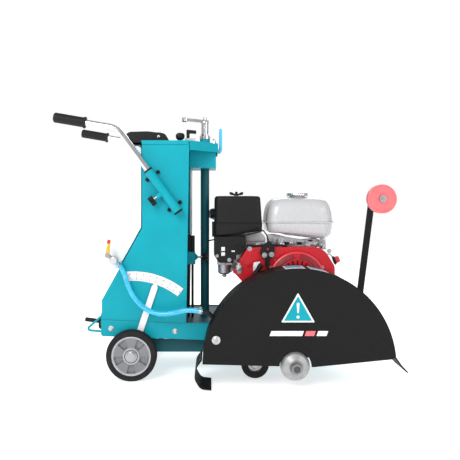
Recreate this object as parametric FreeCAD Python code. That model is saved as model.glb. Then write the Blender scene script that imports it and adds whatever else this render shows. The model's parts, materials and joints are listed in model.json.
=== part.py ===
import FreeCAD, Part
import math
import os

# Walk-behind concrete saw. Lengths are in millimetres, angles in degrees.
# +X is forward, +Y is the machine's left, +Z is up, and the floor is Z = 0.
# ORIGIN_SHIFT moves the finished pieces so that the origin is under the middle of the whole machine.
ORIGIN_SHIFT = FreeCAD.Vector(7.8, 56.2, 0.0)

# Driving dimensions: running gear
REAR_AXLE = (-340.0, 90.0)          # X, Z of the rear axle, about which the machine tilts
FRONT_AXLE = (102.0, 50.0)
REAR_WHEEL_R = 90.0
FRONT_WHEEL_R = 50.0
REAR_WHEEL_FACES = (187.0, 225.0)   # inner and outer face, from the centre plane
FRONT_WHEEL_FACES = (148.0, 188.0)
REAR_AXLE_R = 10.0
FRONT_AXLE_R = 8.0
RUN_GAP = 0.05                      # radial clearance of a running fit
CLEAR = 0.4                         # gap between pieces that move past each other
# Frame
HALF_WIDTH = 178.0                  # outer face of the side plates
SHEET = 4.0
DECK_TOP = 195.0
RAIL_TOP = 221.0                    # face that the engine stands on
COLUMN_TOP = 855.0
TOP_PLATE_TOP = 860.0
# Depth screw
SCREW = (-81.0, 0.0)                # X, Y of the screw axis
SCREW_R = 10.0
LIFT_PIN = (-81.0, 107.0)           # X, Z of the open pivot between nut and carriage
# Handlebars
BAR_R = 11.5
BAR_Y = 205.0
SOCKET_TOP = (-281.0, 749.0)
SOCKET_LENGTH = 182.0
SOCKET_R = 16.5
GRIP_TIP = (-618.0, 939.0)
GRIP_LENGTH = 115.0
# Blade end
ARBOR = (228.0, 80.0)
BLADE_PLANE_Y = -296.0
SPIGOT_R = 12.7                     # fits the blade's 25.4 mm bore
GUARD_CENTRE = (241.0, 84.0)
GUARD_R = 327.0
GUARD_FACES = (-311.0, -195.0)
GUARD_SHEET = 3.0
# Engine
CRANK = (257.0, 353.0)
PULLEY_FACES = (188.0, 220.0)
DRIVE_PULLEY_R = 42.0
ARBOR_PULLEY_R = 50.0
# Guide arm
GUIDE_PIVOT = (458.0, 139.0)
GUIDE_WHEEL = (522.0, 646.0)
GUIDE_FACES = (-192.0, -184.0)

AXES = {"X": FreeCAD.Vector(1, 0, 0), "Y": FreeCAD.Vector(0, 1, 0), "Z": FreeCAD.Vector(0, 0, 1)}


# ---------------------------------------------------------------- helpers
def vec(x, y, z):
    return FreeCAD.Vector(x, y, z)


def place(plane, u, v, at):
    """A point given by two coordinates in a plane and its height across that plane."""
    if plane == "XZ":
        return vec(u, at, v)
    if plane == "XY":
        return vec(u, v, at)
    return vec(at, u, v)


def normal(plane):
    return {"XZ": AXES["Y"], "XY": AXES["Z"], "YZ": AXES["X"]}[plane]


def outline(plane, points, at, radii=0.0):
    """Closed wire through the points, with each corner rounded to its radius."""
    count = len(points)
    if not isinstance(radii, (list, tuple)):
        radii = [radii] * count
    corners = [place(plane, u, v, at) for u, v in points]
    edges = []
    last_end = None
    first_start = None
    for i, corner in enumerate(corners):
        to_back = (corners[i - 1] - corner).normalize()
        to_next = (corners[(i + 1) % count] - corner).normalize()
        start, end = corner, corner
        if radii[i] > 0:
            half = to_back.getAngle(to_next) / 2
            run = radii[i] / math.tan(half)
            start = corner + to_back * run
            end = corner + to_next * run
            middle_way = (to_back + to_next).normalize()
            middle = corner + middle_way * (radii[i] / math.sin(half) - radii[i])
        if last_end is not None and (start - last_end).Length > 1e-6:
            edges.append(Part.LineSegment(last_end, start).toShape())
        if radii[i] > 0:
            edges.append(Part.Arc(start, middle, end).toShape())
        if first_start is None:
            first_start = start
        last_end = end
    if (first_start - last_end).Length > 1e-6:
        edges.append(Part.LineSegment(last_end, first_start).toShape())
    return Part.Wire(edges)


def slab(plane, points, low, high, radii=0.0):
    """Flat piece with a rounded outline, from low to high across its plane."""
    return Part.Face(outline(plane, points, low, radii)).extrude(normal(plane) * (high - low))


def box(x0, x1, y0, y1, z0, z1):
    return Part.makeBox(x1 - x0, y1 - y0, z1 - z0, vec(x0, y0, z0))


def rod(axis, centre, radius, low, high):
    """Round bar along an axis. centre holds the other two coordinates, in X, Y, Z order."""
    starts = {"X": lambda: vec(low, *centre),
              "Y": lambda: vec(centre[0], low, centre[1]),
              "Z": lambda: vec(centre[0], centre[1], low)}
    return Part.makeCylinder(radius, high - low, starts[axis](), AXES[axis])


def rod_between(start, end, radius):
    return Part.makeCylinder(radius, (end - start).Length, start, end - start)


def turned(axis, centre, section, radii=0.0):
    """Body of revolution about Y or Z. section holds (along, radius) points."""
    if axis == "Y":
        points = [(along, centre[1] + radius) for along, radius in section]
        face = Part.Face(outline("YZ", points, centre[0], radii))
        return face.revolve(vec(centre[0], 0, centre[1]), AXES["Y"], 360)
    points = [(centre[0] + radius, along) for along, radius in section]
    face = Part.Face(outline("XZ", points, centre[1], radii))
    return face.revolve(vec(centre[0], centre[1], 0), AXES["Z"], 360)


def path_wire(points, radii):
    """Open wire of straight runs joined by tangent arcs."""
    edges = []
    last = points[0]
    for i in range(1, len(points) - 1):
        corner = points[i]
        to_back = (points[i - 1] - corner).normalize()
        to_next = (points[i + 1] - corner).normalize()
        half = to_back.getAngle(to_next) / 2
        run = radii[i - 1] / math.tan(half)
        start = corner + to_back * run
        end = corner + to_next * run
        middle_way = (to_back + to_next).normalize()
        middle = corner + middle_way * (radii[i - 1] / math.sin(half) - radii[i - 1])
        edges.append(Part.LineSegment(last, start).toShape())
        edges.append(Part.Arc(start, middle, end).toShape())
        last = end
    edges.append(Part.LineSegment(last, points[-1]).toShape())
    return Part.Wire(edges)


def bent_bar(points, radius, bend):
    """Round bar swept along straight runs and bends of one radius."""
    path = path_wire(points, [bend] * (len(points) - 2))
    ring = Part.Wire(Part.makeCircle(radius, points[0], points[1] - points[0]))
    return path.makePipeShell([ring], True, False)


def joined(*pieces):
    whole = pieces[0]
    for piece in pieces[1:]:
        whole = whole.fuse(piece)
    return whole.removeSplitter()


def cut_from(whole, *pieces):
    for piece in pieces:
        whole = whole.cut(piece)
    return whole


def both_sides(piece):
    return [piece, piece.mirror(vec(0, 0, 0), AXES["Y"])]


def belt_outline(first, first_r, second, second_r, at):
    """Closed wire of two arcs and the two outer tangents between two circles in the XZ plane."""
    gap_x, gap_z = second[0] - first[0], second[1] - first[1]
    distance = math.hypot(gap_x, gap_z)
    heading = math.atan2(gap_z, gap_x)
    lean = math.acos((first_r - second_r) / distance)

    def rim(centre, radius, angle):
        return vec(centre[0] + radius * math.cos(angle), at, centre[1] + radius * math.sin(angle))

    a1, a2 = rim(first, first_r, heading + lean), rim(first, first_r, heading - lean)
    b1, b2 = rim(second, second_r, heading + lean), rim(second, second_r, heading - lean)
    back = rim(first, first_r, heading + math.pi)
    front = rim(second, second_r, heading)
    return Part.Wire([Part.LineSegment(a1, b1).toShape(), Part.Arc(b1, front, b2).toShape(),
                      Part.LineSegment(b2, a2).toShape(), Part.Arc(a2, back, a1).toShape()])


def belt_slab(first, first_r, second, second_r, low, high):
    face = Part.Face(belt_outline(first, first_r, second, second_r, low))
    return face.extrude(AXES["Y"] * (high - low))


# ---------------------------------------------------------------- running gear
def rear_tyre(side):
    low, high = REAR_WHEEL_FACES
    section = [(low, 70), (low, 82), (low + 5, REAR_WHEEL_R),
               (high - 5, REAR_WHEEL_R), (high, 82), (high, 70)]
    section = [(side * along, radius) for along, radius in section]
    return [turned("Y", REAR_AXLE, section, [0, 3, 4, 4, 3, 0])]


def rear_rim(side):
    """Cast wheel centre with five wedge pockets in its outer face."""
    low, high = REAR_WHEEL_FACES
    bore = REAR_AXLE_R + RUN_GAP
    section = [(low + 1, bore), (low + 1, 26), (low + 12, 30), (low + 12, 60), (low + 2, 64),
               (low + 2, 69.8), (high - 2, 69.8), (high - 2, 65), (high - 5, 62), (high - 5, 31),
               (high - 1, 28.5), (high - 1, bore)]
    wheel = turned("Y", REAR_AXLE, [(side * along, radius) for along, radius in section])
    pocket_inner, pocket_outer = 32.0, 61.0
    for turn in range(5):
        angle = math.radians(54 + 72 * turn)
        ahead = (math.cos(angle), math.sin(angle))
        across = (-math.sin(angle), math.cos(angle))
        corners = []
        for reach, half in ((pocket_inner, -9), (pocket_outer, -17), (pocket_outer, 17), (pocket_inner, 9)):
            corners.append((REAR_AXLE[0] + ahead[0] * reach + across[0] * half,
                            REAR_AXLE[1] + ahead[1] * reach + across[1] * half))
        faces = sorted((side * (high - 13), side * high))
        wheel = wheel.cut(slab("XZ", corners, faces[0], faces[1], 3.0))
    return [wheel]


def front_wheel(side):
    """Solid rubber tyre and its hub."""
    low, high = FRONT_WHEEL_FACES
    tyre = [(low, 25), (low, 44), (low + 4, FRONT_WHEEL_R),
            (high - 4, FRONT_WHEEL_R), (high, 44), (high, 25)]
    hub = [(low + 1, FRONT_AXLE_R + RUN_GAP), (low + 1, 14), (low + 8, 16), (low + 8, 25),
           (high - 6, 25), (high - 6, 16), (high - 1, 13), (high - 1, FRONT_AXLE_R + RUN_GAP)]
    return [turned("Y", FRONT_AXLE, [(side * a, r) for a, r in tyre], [0, 3, 3, 3, 3, 0]),
            turned("Y", FRONT_AXLE, [(side * a, r) for a, r in hub])]


def wheel_axles():
    """Rear and front axle bars with their end caps."""
    pieces = []
    for centre, radius, faces, cap in ((REAR_AXLE, REAR_AXLE_R, REAR_WHEEL_FACES, 17.5),
                                       (FRONT_AXLE, FRONT_AXLE_R, FRONT_WHEEL_FACES, 12.0)):
        end = faces[1] + CLEAR
        pieces.append(rod("Y", centre, radius, -end, end))
        dome = turned("Y", centre, [(end, 0), (end, cap), (end + 3, cap), (end + 4.5, cap - 4), (end + 4.5, 0)])
        pieces += both_sides(dome)
    return pieces


SWING_FACES = (132.0, 140.0)
SWING_TOP = 130.0
SWING_BOTTOM = 84.0


def swing_frame():
    """Carriage that joins both axles, with the fork that takes the depth screw's nut."""
    low, high = SWING_FACES
    shape = [(-364, SWING_BOTTOM), (-364, SWING_TOP), (126, SWING_TOP), (126, 32), (78, 32),
             (78, SWING_BOTTOM)]
    plate = slab("XZ", shape, low, high, [10, 20, 14, 20, 20, 12])
    plate = joined(plate, rod("Y", REAR_AXLE, 24, low - 6, high + 8),
                   rod("Y", FRONT_AXLE, 18, low - 4, high + 6))
    sides = both_sides(plate)
    cross_tube = rod("Y", (-290, 107), 17, -low, low)
    cross_tube = cross_tube.cut(rod("Y", (-290, 107), 13, -low, low))
    beam = box(-113, -49, -low, low, SWING_BOTTOM, SWING_BOTTOM + 6)
    front_beam = box(40, 74, -low, low, SWING_TOP - 6, SWING_TOP)
    ear = slab("XZ", [(-101, SWING_BOTTOM + 5), (-101, 123), (-61, 123), (-61, SWING_BOTTOM + 5)], 10, 16,
               [0, 14, 14, 0])
    pin = rod("Y", LIFT_PIN, 6, -18, 18)
    frame = joined(*sides, cross_tube, beam, front_beam, *both_sides(ear), pin)
    return [cut_from(frame, rod("Y", REAR_AXLE, REAR_AXLE_R, -200, 200),
                     rod("Y", FRONT_AXLE, FRONT_AXLE_R, -200, 200))]


POINTER_FACES = (-185.5, -182.5)
POINTER_REACH = 268.0


def depth_pointer():
    """White sheet arm that stands on the rear axle and points at the depth scale."""
    lean = math.radians(18.4)
    along = (math.sin(lean), math.cos(lean))
    across = (math.cos(lean), -math.sin(lean))
    corners = []
    shoulder = POINTER_REACH - 15
    for reach, half in ((0, -12), (shoulder, -11), (POINTER_REACH, -3), (POINTER_REACH, 3), (shoulder, 11),
                        (0, 12)):
        corners.append((REAR_AXLE[0] + along[0] * reach + across[0] * half,
                        REAR_AXLE[1] + along[1] * reach + across[1] * half))
    low, high = POINTER_FACES
    arm = joined(slab("XZ", corners, low, high, [0, 2, 1, 1, 2, 0]), rod("Y", REAR_AXLE, 20, low, high))
    return [arm.cut(rod("Y", REAR_AXLE, REAR_AXLE_R, low - 1, high + 1))]


# ---------------------------------------------------------------- main frame
def chassis():
    """Welded base: side plates, deck, axle lugs, engine rails, stop pads and tie-down loop."""
    inner = HALF_WIDTH - SHEET - 1
    side = slab("XZ", [(-453, 151), (-453, 211), (-147, 197), (-80, DECK_TOP), (425, DECK_TOP), (425, 138),
                       (-60, 136)], inner, HALF_WIDTH, [4, 0, 0, 0, 6, 6, 0])
    lug = slab("XZ", [(-370, 191), (-370, 60), (-310, 60), (-310, 191)], inner - 12, inner, [0, 26, 26, 0])
    deck = box(-453, 421, -inner, inner, DECK_TOP - 5, DECK_TOP)
    rear = box(-457, -453, -170, 170, 153, 232)
    front = box(421, 425, -inner, inner, 138, DECK_TOP)
    boss = rod("Z", SCREW, 32, DECK_TOP - 14, DECK_TOP - 4)
    stop_pad = box(50, 74, 128, 144, SWING_TOP + CLEAR, DECK_TOP - 4)
    rail = box(84, 418, 68, 104, DECK_TOP - 1, RAIL_TOP).cut(box(84, 418, 72, 100, DECK_TOP, RAIL_TOP - 4))
    loop = bent_bar([vec(-455, -150, 222), vec(-517, -150, 167), vec(-455, -150, 161)], 4, 7)
    guide_lug = slab("XZ", [(400, 112), (482, 112), (482, 165), (440, 190), (400, 190)],
                     -GUIDE_FACES[1] - 6 - CLEAR, -GUIDE_FACES[1] - CLEAR, [10, 22, 22, 10, 8])
    guide_lug = guide_lug.mirror(vec(0, 0, 0), AXES["Y"])
    guide_pin = rod("Y", GUIDE_PIVOT, 8, GUIDE_FACES[0] - 2.5, -HALF_WIDTH + 1)
    pedal_ear = box(-478, -456, -75, -70, 166, 184)
    pedal_ears = [pedal_ear, pedal_ear.translated(vec(0, 35, 0))]
    pedal_pin = rod("Y", (-472, 175), 4, -76, -34)
    base = joined(*both_sides(side), *both_sides(lug), deck, rear, front, boss, *both_sides(stop_pad),
                  *both_sides(rail), loop, guide_lug, guide_pin, *pedal_ears, pedal_pin)
    return [cut_from(base, rod("Y", REAR_AXLE, REAR_AXLE_R + RUN_GAP, -200, 200),
                     rod("Z", SCREW, NUT_R + RUN_GAP, DECK_TOP - 20, DECK_TOP + 10))]


def column_front(z):
    """X of the column's leaning front edge at a height."""
    return -147 + 11 * (z - 197) / (COLUMN_TOP - 197)


def column():
    """Folded sheet housing between the deck and the top plate."""
    inner = HALF_WIDTH - SHEET
    gap = 0.2
    side = slab("XZ", [(-453, 211 + gap), (-453, 281), (-307, 543), (-307, COLUMN_TOP),
                       (column_front(COLUMN_TOP), COLUMN_TOP), (-147, 197 + gap)], inner, HALF_WIDTH)
    rear = slab("XZ", [(-453, 233), (-453, 281), (-307, 543), (-307, COLUMN_TOP), (-303, COLUMN_TOP),
                       (-303, 542), (-449, 280), (-449, 233)], -inner, inner)
    recess = 18
    front = slab("XZ", [(-147 - recess, 200), (column_front(COLUMN_TOP) - recess, COLUMN_TOP),
                        (column_front(COLUMN_TOP) - recess - SHEET, COLUMN_TOP), (-147 - recess - SHEET, 200)],
                 -inner, inner)
    cap = box(-304, -150, -inner, inner, COLUMN_TOP - SHEET, COLUMN_TOP)
    return [joined(*both_sides(side), rear, front, cap)]


BLOCK_BOTTOM = 768.0
POST_R = 17.0
NUT_R = 12.3


def top_plate():
    """Top plate with folded edges, and the block under it that carries the depth screw."""
    plan = [(-310, -182), (-136, -182), (-30, -86), (-30, 86), (-136, 182), (-310, 182)]
    plate = slab("XY", plan, COLUMN_TOP, TOP_PLATE_TOP, [4, 10, 8, 8, 10, 4])
    skirt = slab("XY", [(-134, -180), (-30, -86), (-30, 86), (-134, 180)], TOP_PLATE_TOP - 34, COLUMN_TOP + 1,
                 [0, 8, 8, 0])
    hollow = slab("XY", [(-150, -188), (-33.5, -84), (-33.5, 84), (-150, 188)], TOP_PLATE_TOP - 40, COLUMN_TOP)
    skirt = skirt.cut(hollow)
    edge = box(-308, -140, HALF_WIDTH + 0.2, HALF_WIDTH + 4, TOP_PLATE_TOP - 14, COLUMN_TOP + 1)
    block = box(-138, -38, -78, 78, BLOCK_BOTTOM, COLUMN_TOP)
    block = block.cut(box(-134, -42, -74, 74, BLOCK_BOTTOM + SHEET, COLUMN_TOP - SHEET))
    neck = rod("Z", SCREW, 22, BLOCK_BOTTOM, COLUMN_TOP)
    collar = rod("Z", SCREW, 20, TOP_PLATE_TOP - 1, 886)
    whole = joined(plate, skirt, *both_sides(edge), block, neck, collar)
    return [whole.cut(rod("Z", SCREW, SCREW_R + RUN_GAP, BLOCK_BOTTOM - 1, 900))]


def screw_post():
    post = rod("Z", SCREW, POST_R, DECK_TOP, BLOCK_BOTTOM)
    return [post.cut(rod("Z", SCREW, NUT_R + RUN_GAP, DECK_TOP - 1, BLOCK_BOTTOM + 1))]


LOCK = (-136.0, -43.0)


def lock_slide():
    """Clamping rod, its rubber buffer and the twin bars that the depth lock grips."""
    steel_rod = rod("Z", LOCK, 5.5, 511.2, BLOCK_BOTTOM - 0.2)
    lobe = slab("XY", [(-148, -58), (-133, -58), (-133, -28), (-148, -28)], 448.2, 511, 4)
    lobe = joined(lobe, lobe.translated(vec(13, 0, -3)))
    bars = [box(LOCK[0] - 12, LOCK[0] - 3, -50, -36, DECK_TOP, 398),
            box(LOCK[0] + 3, LOCK[0] + 12, -50, -36, DECK_TOP, 398)]
    return [steel_rod, lobe] + bars


def depth_lock():
    """Clamp block on the twin bars, with a tapered neck for its knob."""
    block = slab("XY", [(LOCK[0] - 12, -60), (LOCK[0] + 18, -60), (LOCK[0] + 18, -26), (LOCK[0] - 12, -26)],
                 398.2, 445, 3)
    neck = Part.makeCone(15, 6, 10, vec(LOCK[0] + 17, LOCK[1], 425), AXES["X"])
    return [joined(block, neck).cut(rod("X", (LOCK[1], 425), 4 + RUN_GAP, LOCK[0] + 2, LOCK[0] + 40))]


def lifting_eye():
    """Transverse bar loop hooked under the front of the top plate."""
    foot = 32
    points = [vec(-29.8, -foot, 838), vec(-19, -foot, 838), vec(-19, -foot, 920), vec(-19, foot, 920),
              vec(-19, foot, 838), vec(-29.8, foot, 838)]
    return [bent_bar(points, 5.5, 6.5)]


SCALE_INNER = 262.0
SCALE_OUTER = 296.0


def scale_corner(radius, lean):
    angle = math.radians(lean)
    return REAR_AXLE[0] + radius * math.sin(angle), REAR_AXLE[1] + radius * math.cos(angle)


def depth_scale():
    """White arc plate centred on the rear axle."""
    inner, outer, start, end = SCALE_INNER, SCALE_OUTER, -4.2, 38.2
    low, high = -HALF_WIDTH - 3.0, -HALF_WIDTH - 0.2
    middle = (start + end) / 2

    def at(radius, lean):
        x, z = scale_corner(radius, lean)
        return vec(x, low, z)

    wire = Part.Wire([Part.Arc(at(outer, start), at(outer, middle), at(outer, end)).toShape(),
                      Part.LineSegment(at(outer, end), at(inner, end)).toShape(),
                      Part.Arc(at(inner, end), at(inner, middle), at(inner, start)).toShape(),
                      Part.LineSegment(at(inner, start), at(outer, start)).toShape()])
    return [Part.Face(wire).extrude(vec(0, high - low, 0))]


def dome_bolt(x, z, radius, face, height):
    """Domed bolt head on a side face; a negative height points to -Y."""
    way = 1 if height > 0 else -1
    section = [(face, 0), (face, radius), (face + way * 2, radius), (face + height, radius * 0.45),
               (face + height, 0)]
    return turned("Y", (x, z), section)


def frame_fasteners():
    """Dome bolts of the base and the bolt that holds the blade guard."""
    bolts = []
    for x, z in ((-419, 179), (-187, 169)):
        bolts += both_sides(dome_bolt(x, z, 10, -HALF_WIDTH, -6))
    bolts.append(dome_bolt(-40, 170, 14.5, GUARD_FACES[0], -8))
    return bolts


def socket_point(along, away=0.0):
    """X, Z of a point on the handlebar socket: along its axis from the top, and away from it downwards."""
    way = (107 / 181.82, -147 / 181.82)
    return (SOCKET_TOP[0] + way[0] * along + way[1] * away,
            SOCKET_TOP[1] + way[1] * along - way[0] * away)


def handle_sockets():
    """Tubes welded beside the column that hold the handlebars, each with a boss for its clamp knob."""
    pieces = []
    for side in (-1, 1):
        y = side * BAR_Y
        top, bottom = socket_point(0), socket_point(SOCKET_LENGTH)
        start, end = vec(top[0], y, top[1]), vec(bottom[0], y, bottom[1])
        tube = rod_between(start, end, SOCKET_R)
        for along in (30, 150):
            foot = socket_point(along)
            faces = sorted((side * (HALF_WIDTH + 0.1), y))
            tube = tube.fuse(rod("Y", foot, 13, faces[0], faces[1]))
        near, far = socket_point(94, 10), socket_point(94, 30)
        tube = tube.fuse(rod_between(vec(near[0], y, near[1]), vec(far[0], y, far[1]), 10))
        tube = tube.cut(rod_between(start + (start - end) * 0.1, end + (end - start) * 0.1, BAR_R + 0.1))
        inner = socket_point(94, 5)
        outer = socket_point(94, 40)
        tube = tube.cut(rod_between(vec(inner[0], y, inner[1]), vec(outer[0], y, outer[1]), 4 + RUN_GAP))
        pieces.append(tube)
    return pieces


def water_tank():
    """Blow-moulded tank, hollow, shaped to the back of the column."""
    outer = [(-474, 425), (-474, 840), (-311, 840), (-311, 545), (-395.5, 393), (-450, 393)]
    inner = [(-470, 427), (-470, 836), (-315, 836), (-315, 546), (-398, 397), (-448, 397)]
    shell = slab("XZ", outer, -170, 170, [20, 22, 14, 20, 14, 18])
    shell = shell.cut(slab("XZ", inner, -166, 166, [16, 18, 10, 16, 10, 14]))
    neck = rod("Z", (-352, 0), 38, 838, 860)
    return [joined(shell, neck).cut(rod("Z", (-352, 0), 32, 830, 861))]


VALVE = (-427.0, 446.0)             # X, Z of the lever's stem
UNION = (-406.0, 428.0)             # X, Z of the union on the tank's side
HOSE_R = 9.0


def hose_route():
    """Route of the water hose from the tank valve to the guard's spray nozzle."""
    return [vec(-394, -200, 418), vec(-379, -201, 404), vec(-365, -203, 378), vec(-356, -206, 345),
            vec(-340, -209, 309), vec(-315, -213, 276), vec(-281, -218, 251), vec(-240, -223, 239),
            vec(-198, -229, 243), vec(-160, -236, 254), vec(-122, -243, 259), vec(-86, -249, 253)]


def water_hose():
    points = hose_route()
    radii = []
    for i in range(1, len(points) - 1):
        back, ahead = points[i - 1] - points[i], points[i + 1] - points[i]
        half_turn = (math.pi - back.getAngle(ahead)) / 2
        radii.append(0.45 * min(back.Length, ahead.Length) / math.tan(half_turn))
    path = path_wire(points, radii)
    length = path.Length
    ring = Part.Wire(Part.makeCircle(HOSE_R, points[0], points[1] - points[0]))
    hose = path.makePipeShell([ring], True, False)
    print("hose radii", [round(radius) for radius in radii], "length", round(length, 1))
    print("hose volume / (section x length)", round(hose.Volume / (math.pi * HOSE_R ** 2 * length), 4))
    return [hose]


def tank_valve():
    """Ball valve on a stub from the tank's side, with a barb for the hose."""
    stub = rod("Y", UNION, 9, -204, -170)
    union = rod("Y", UNION, 13.5, -210, -182)
    body = rod_between(vec(UNION[0], -198, UNION[1]), vec(VALVE[0], -198, VALVE[1]), 7)
    points = hose_route()
    way = (points[0] - points[1]).normalize()
    barb = rod_between(points[0], points[0] + way * 16, 8)
    bonnet = rod("Y", VALVE, 8, -206, -190)
    stem = rod("Y", VALVE, 5, -213, -200)
    return [joined(stub, union, body, barb, bonnet, stem)]


def valve_lever():
    """Flat lever on the valve's stem, upright when the valve is shut."""
    x, z = VALVE
    high = -213 - CLEAR
    shape = [(x - 8, z - 8), (x + 5, z + 56), (x + 14, z + 54), (x + 8, z - 8)]
    return [slab("XZ", shape, high - 3, high, [7, 4, 4, 7])]


def spray_nozzle():
    """Elbow from the hose to the guard's rear rim."""
    points = hose_route()
    way = (points[-1] - points[-2]).normalize()
    return [bent_bar([points[-1], points[-1] + way * 20, vec(-50, -253, 234)], 8, 9)]


def guard_prism(shrink, low, high):
    """The guard's outline as a prism: an arc over the blade with a stepped lower edge."""
    radius = GUARD_R - shrink
    cx, cz = GUARD_CENTRE
    bottom = -60 if shrink else 0
    rear = vec(cx - math.sqrt(radius ** 2 - 16), low, cz + 4)
    front_angle = math.radians(5)
    front = vec(cx + radius * math.cos(front_angle), low, cz + radius * math.sin(front_angle))
    top = vec(cx, low, cz + radius)
    lower = [front, vec(553 - shrink, low, 105 + bottom), vec(290, low, 79 + bottom),
             rear + vec(0, 0, bottom), rear]
    edges = [Part.Arc(rear, top, front).toShape()]
    for start, end in zip(lower, lower[1:]):
        if (start - end).Length > 1e-6:
            edges.append(Part.LineSegment(start, end).toShape())
    return Part.Face(Part.Wire(edges)).extrude(vec(0, high - low, 0))


def blade_guard():
    """Sheet guard, open below, with a notch for the flange and a slot for the arbor."""
    low, high = GUARD_FACES
    shell = guard_prism(0, low, high)
    shell = shell.cut(guard_prism(GUARD_SHEET, low + GUARD_SHEET, high - GUARD_SHEET))
    notch = rod("Y", ARBOR, 54, low - 1, low + GUARD_SHEET + 1)
    slot = joined(rod("Y", ARBOR, 34, high - GUARD_SHEET - 1, high + 1),
                  box(ARBOR[0] - 34, ARBOR[0] + 34, high - GUARD_SHEET - 1, high + 1, 0, ARBOR[1]))
    spacers = [rod("Y", (x, 166), 14, high - 1, -HALF_WIDTH) for x in (0, 330)]
    return [joined(cut_from(shell, notch, slot), *spacers)]


def flap(points, radii):
    """Rubber strip of constant thickness across the guard, along a side view path."""
    low, high = GUARD_FACES[0] - 6, GUARD_FACES[1]
    thickness = 4.0
    path = path_wire([vec(x, low, z) for x, z in points], radii)
    start, end = vec(points[0][0], low, points[0][1]), vec(points[1][0], low, points[1][1])
    across = (end - start).normalize().cross(AXES["Y"])
    corners = [start - across * thickness / 2, start + across * thickness / 2]
    corners += [corners[1] + vec(0, high - low, 0), corners[0] + vec(0, high - low, 0)]
    section = Part.makePolygon(corners + [corners[0]])
    return path.makePipeShell([section], True, False)


def splash_flaps():
    """Front and rear rubber flaps that hang from the guard's ends."""
    rear = flap([(-89, 104), (-107, 80), (-112, 40), (-92, 8), (-56, 4.2)], [30, 34, 26])
    front = flap([(565.5, 109.9), (582, 86), (604, 62)], [60])
    return [rear, front]


def belt_guard():
    """Cover over the belt drive on the machine's left side."""
    low, high = HALF_WIDTH + 1, PULLEY_FACES[1] + 8
    cover = belt_slab(CRANK, 64, ARBOR, 64, low, high)
    cover = cover.cut(belt_slab(CRANK, 61, ARBOR, 61, low + 3, high - 3))
    holes = [rod("Y", CRANK, 20, low - 1, low + 4), rod("Y", ARBOR, 24, low - 1, low + 4)]
    feet = [rod("Y", (x, 170), 8, HALF_WIDTH, low + 1) for x in (216, 262)]
    return [joined(cut_from(cover, *holes), *feet)]


def bearing_housings():
    """Two hung bearing blocks that carry the blade arbor."""
    pieces = []
    shape = [(184, DECK_TOP - 5), (184, 40), (272, 40), (272, DECK_TOP - 5)]
    for low, high in ((-171, -141), (112, 142)):
        block = slab("XZ", shape, low, high, [0, 42, 42, 0])
        pieces.append(block.cut(rod("Y", ARBOR, 15 + RUN_GAP, low - 1, high + 1)))
    return pieces


def pulley(centre, radius, bore):
    """Two-groove pulley."""
    low, high = PULLEY_FACES
    root = radius - 9
    section = [(low, bore), (low, radius), (low + 3, radius), (low + 6, root), (low + 11, root),
               (low + 14, radius), (low + 18, radius), (low + 21, root), (low + 26, root),
               (low + 29, radius), (high, radius), (high, bore)]
    return turned("Y", centre, section)


def drive_belts():
    """Two belts that run in the pulley grooves."""
    belts = []
    for low in (PULLEY_FACES[0] + 6.4, PULLEY_FACES[0] + 21.4):
        inner_drop = 9 - CLEAR
        outer = belt_slab(CRANK, DRIVE_PULLEY_R, ARBOR, ARBOR_PULLEY_R, low, low + 4.2)
        inner = belt_slab(CRANK, DRIVE_PULLEY_R - inner_drop, ARBOR, ARBOR_PULLEY_R - inner_drop,
                          low - 1, low + 6)
        belts.append(outer.cut(inner))
    return belts


# ---------------------------------------------------------------- engine
def crankcase():
    """Cast crankcase on its foot."""
    foot = box(98, 418, -104, 104, RAIL_TOP, RAIL_TOP + 12)
    body = slab("XZ", [(128, RAIL_TOP + 11), (118, 300), (150, 440), (330, 460), (384, 400), (392, RAIL_TOP + 11)],
                -92, 96, [4, 30, 20, 40, 40, 4])
    wall = 9
    inner = [(138, RAIL_TOP + 21), (129, 300), (158, 431), (328, 451), (375, 398), (382, RAIL_TOP + 21)]
    cavity = slab("XZ", inner, -92 + wall, 96 - wall, [4, 22, 12, 31, 31, 4])
    nose = turned("Y", CRANK, [(95, 0), (95, 62), (112, 58), (118, 30), (118, 0)])
    bore = rod("Y", CRANK, 12.7 + RUN_GAP, -110, 130)
    return [cut_from(joined(foot, body, nose), cavity, bore)]


def cylinder():
    """Finned cylinder block that leans back from the crankcase, with its rocker cover."""
    lean = 25.0
    pivot = vec(200, 0, 360)
    block = box(40, 120, -26, 78, 300, 420)
    fins = [box(34 + 12 * i, 38 + 12 * i, -34, 90, 288, 432) for i in range(7)]
    cover = slab("XZ", [(2, 306), (2, 414), (32, 420), (32, 300)], -24, 76, [14, 14, 2, 2])
    neck = box(30, 42, -24, 76, 306, 414)
    whole = joined(block, neck, cover, *fins)
    whole.rotate(pivot, AXES["Y"], lean)
    return [cut_from(whole, box(112, 400, -200, 200, 200, 700))]


SHROUD_FACES = (-150.0, -92.4)
THROTTLE_PIVOT = (150.0, 465.0)


def fan_shroud():
    """Painted fan housing around the flywheel."""
    low, high = SHROUD_FACES
    shape = [(24, 381), (79, 471), (355, 471), (398, 400), (398, 262), (352, 236), (150, 236), (58, 344)]
    radii = [10, 14, 60, 30, 40, 30, 40, 14]
    shell = slab("XZ", shape, low, high, radii)
    inner = [(29, 381), (82, 467), (352, 467), (394, 399), (394, 264), (350, 240), (153, 240), (62, 347)]
    cavity = slab("XZ", inner, low + 4, high + 1, [8, 12, 56, 27, 36, 27, 36, 12])
    opening = rod("Y", CRANK, 84, low - 1, low + 5)
    lever_pin = rod("Y", THROTTLE_PIVOT, 4, low - 17, low + 1)
    return [joined(cut_from(shell, cavity, opening), lever_pin)]


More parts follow.
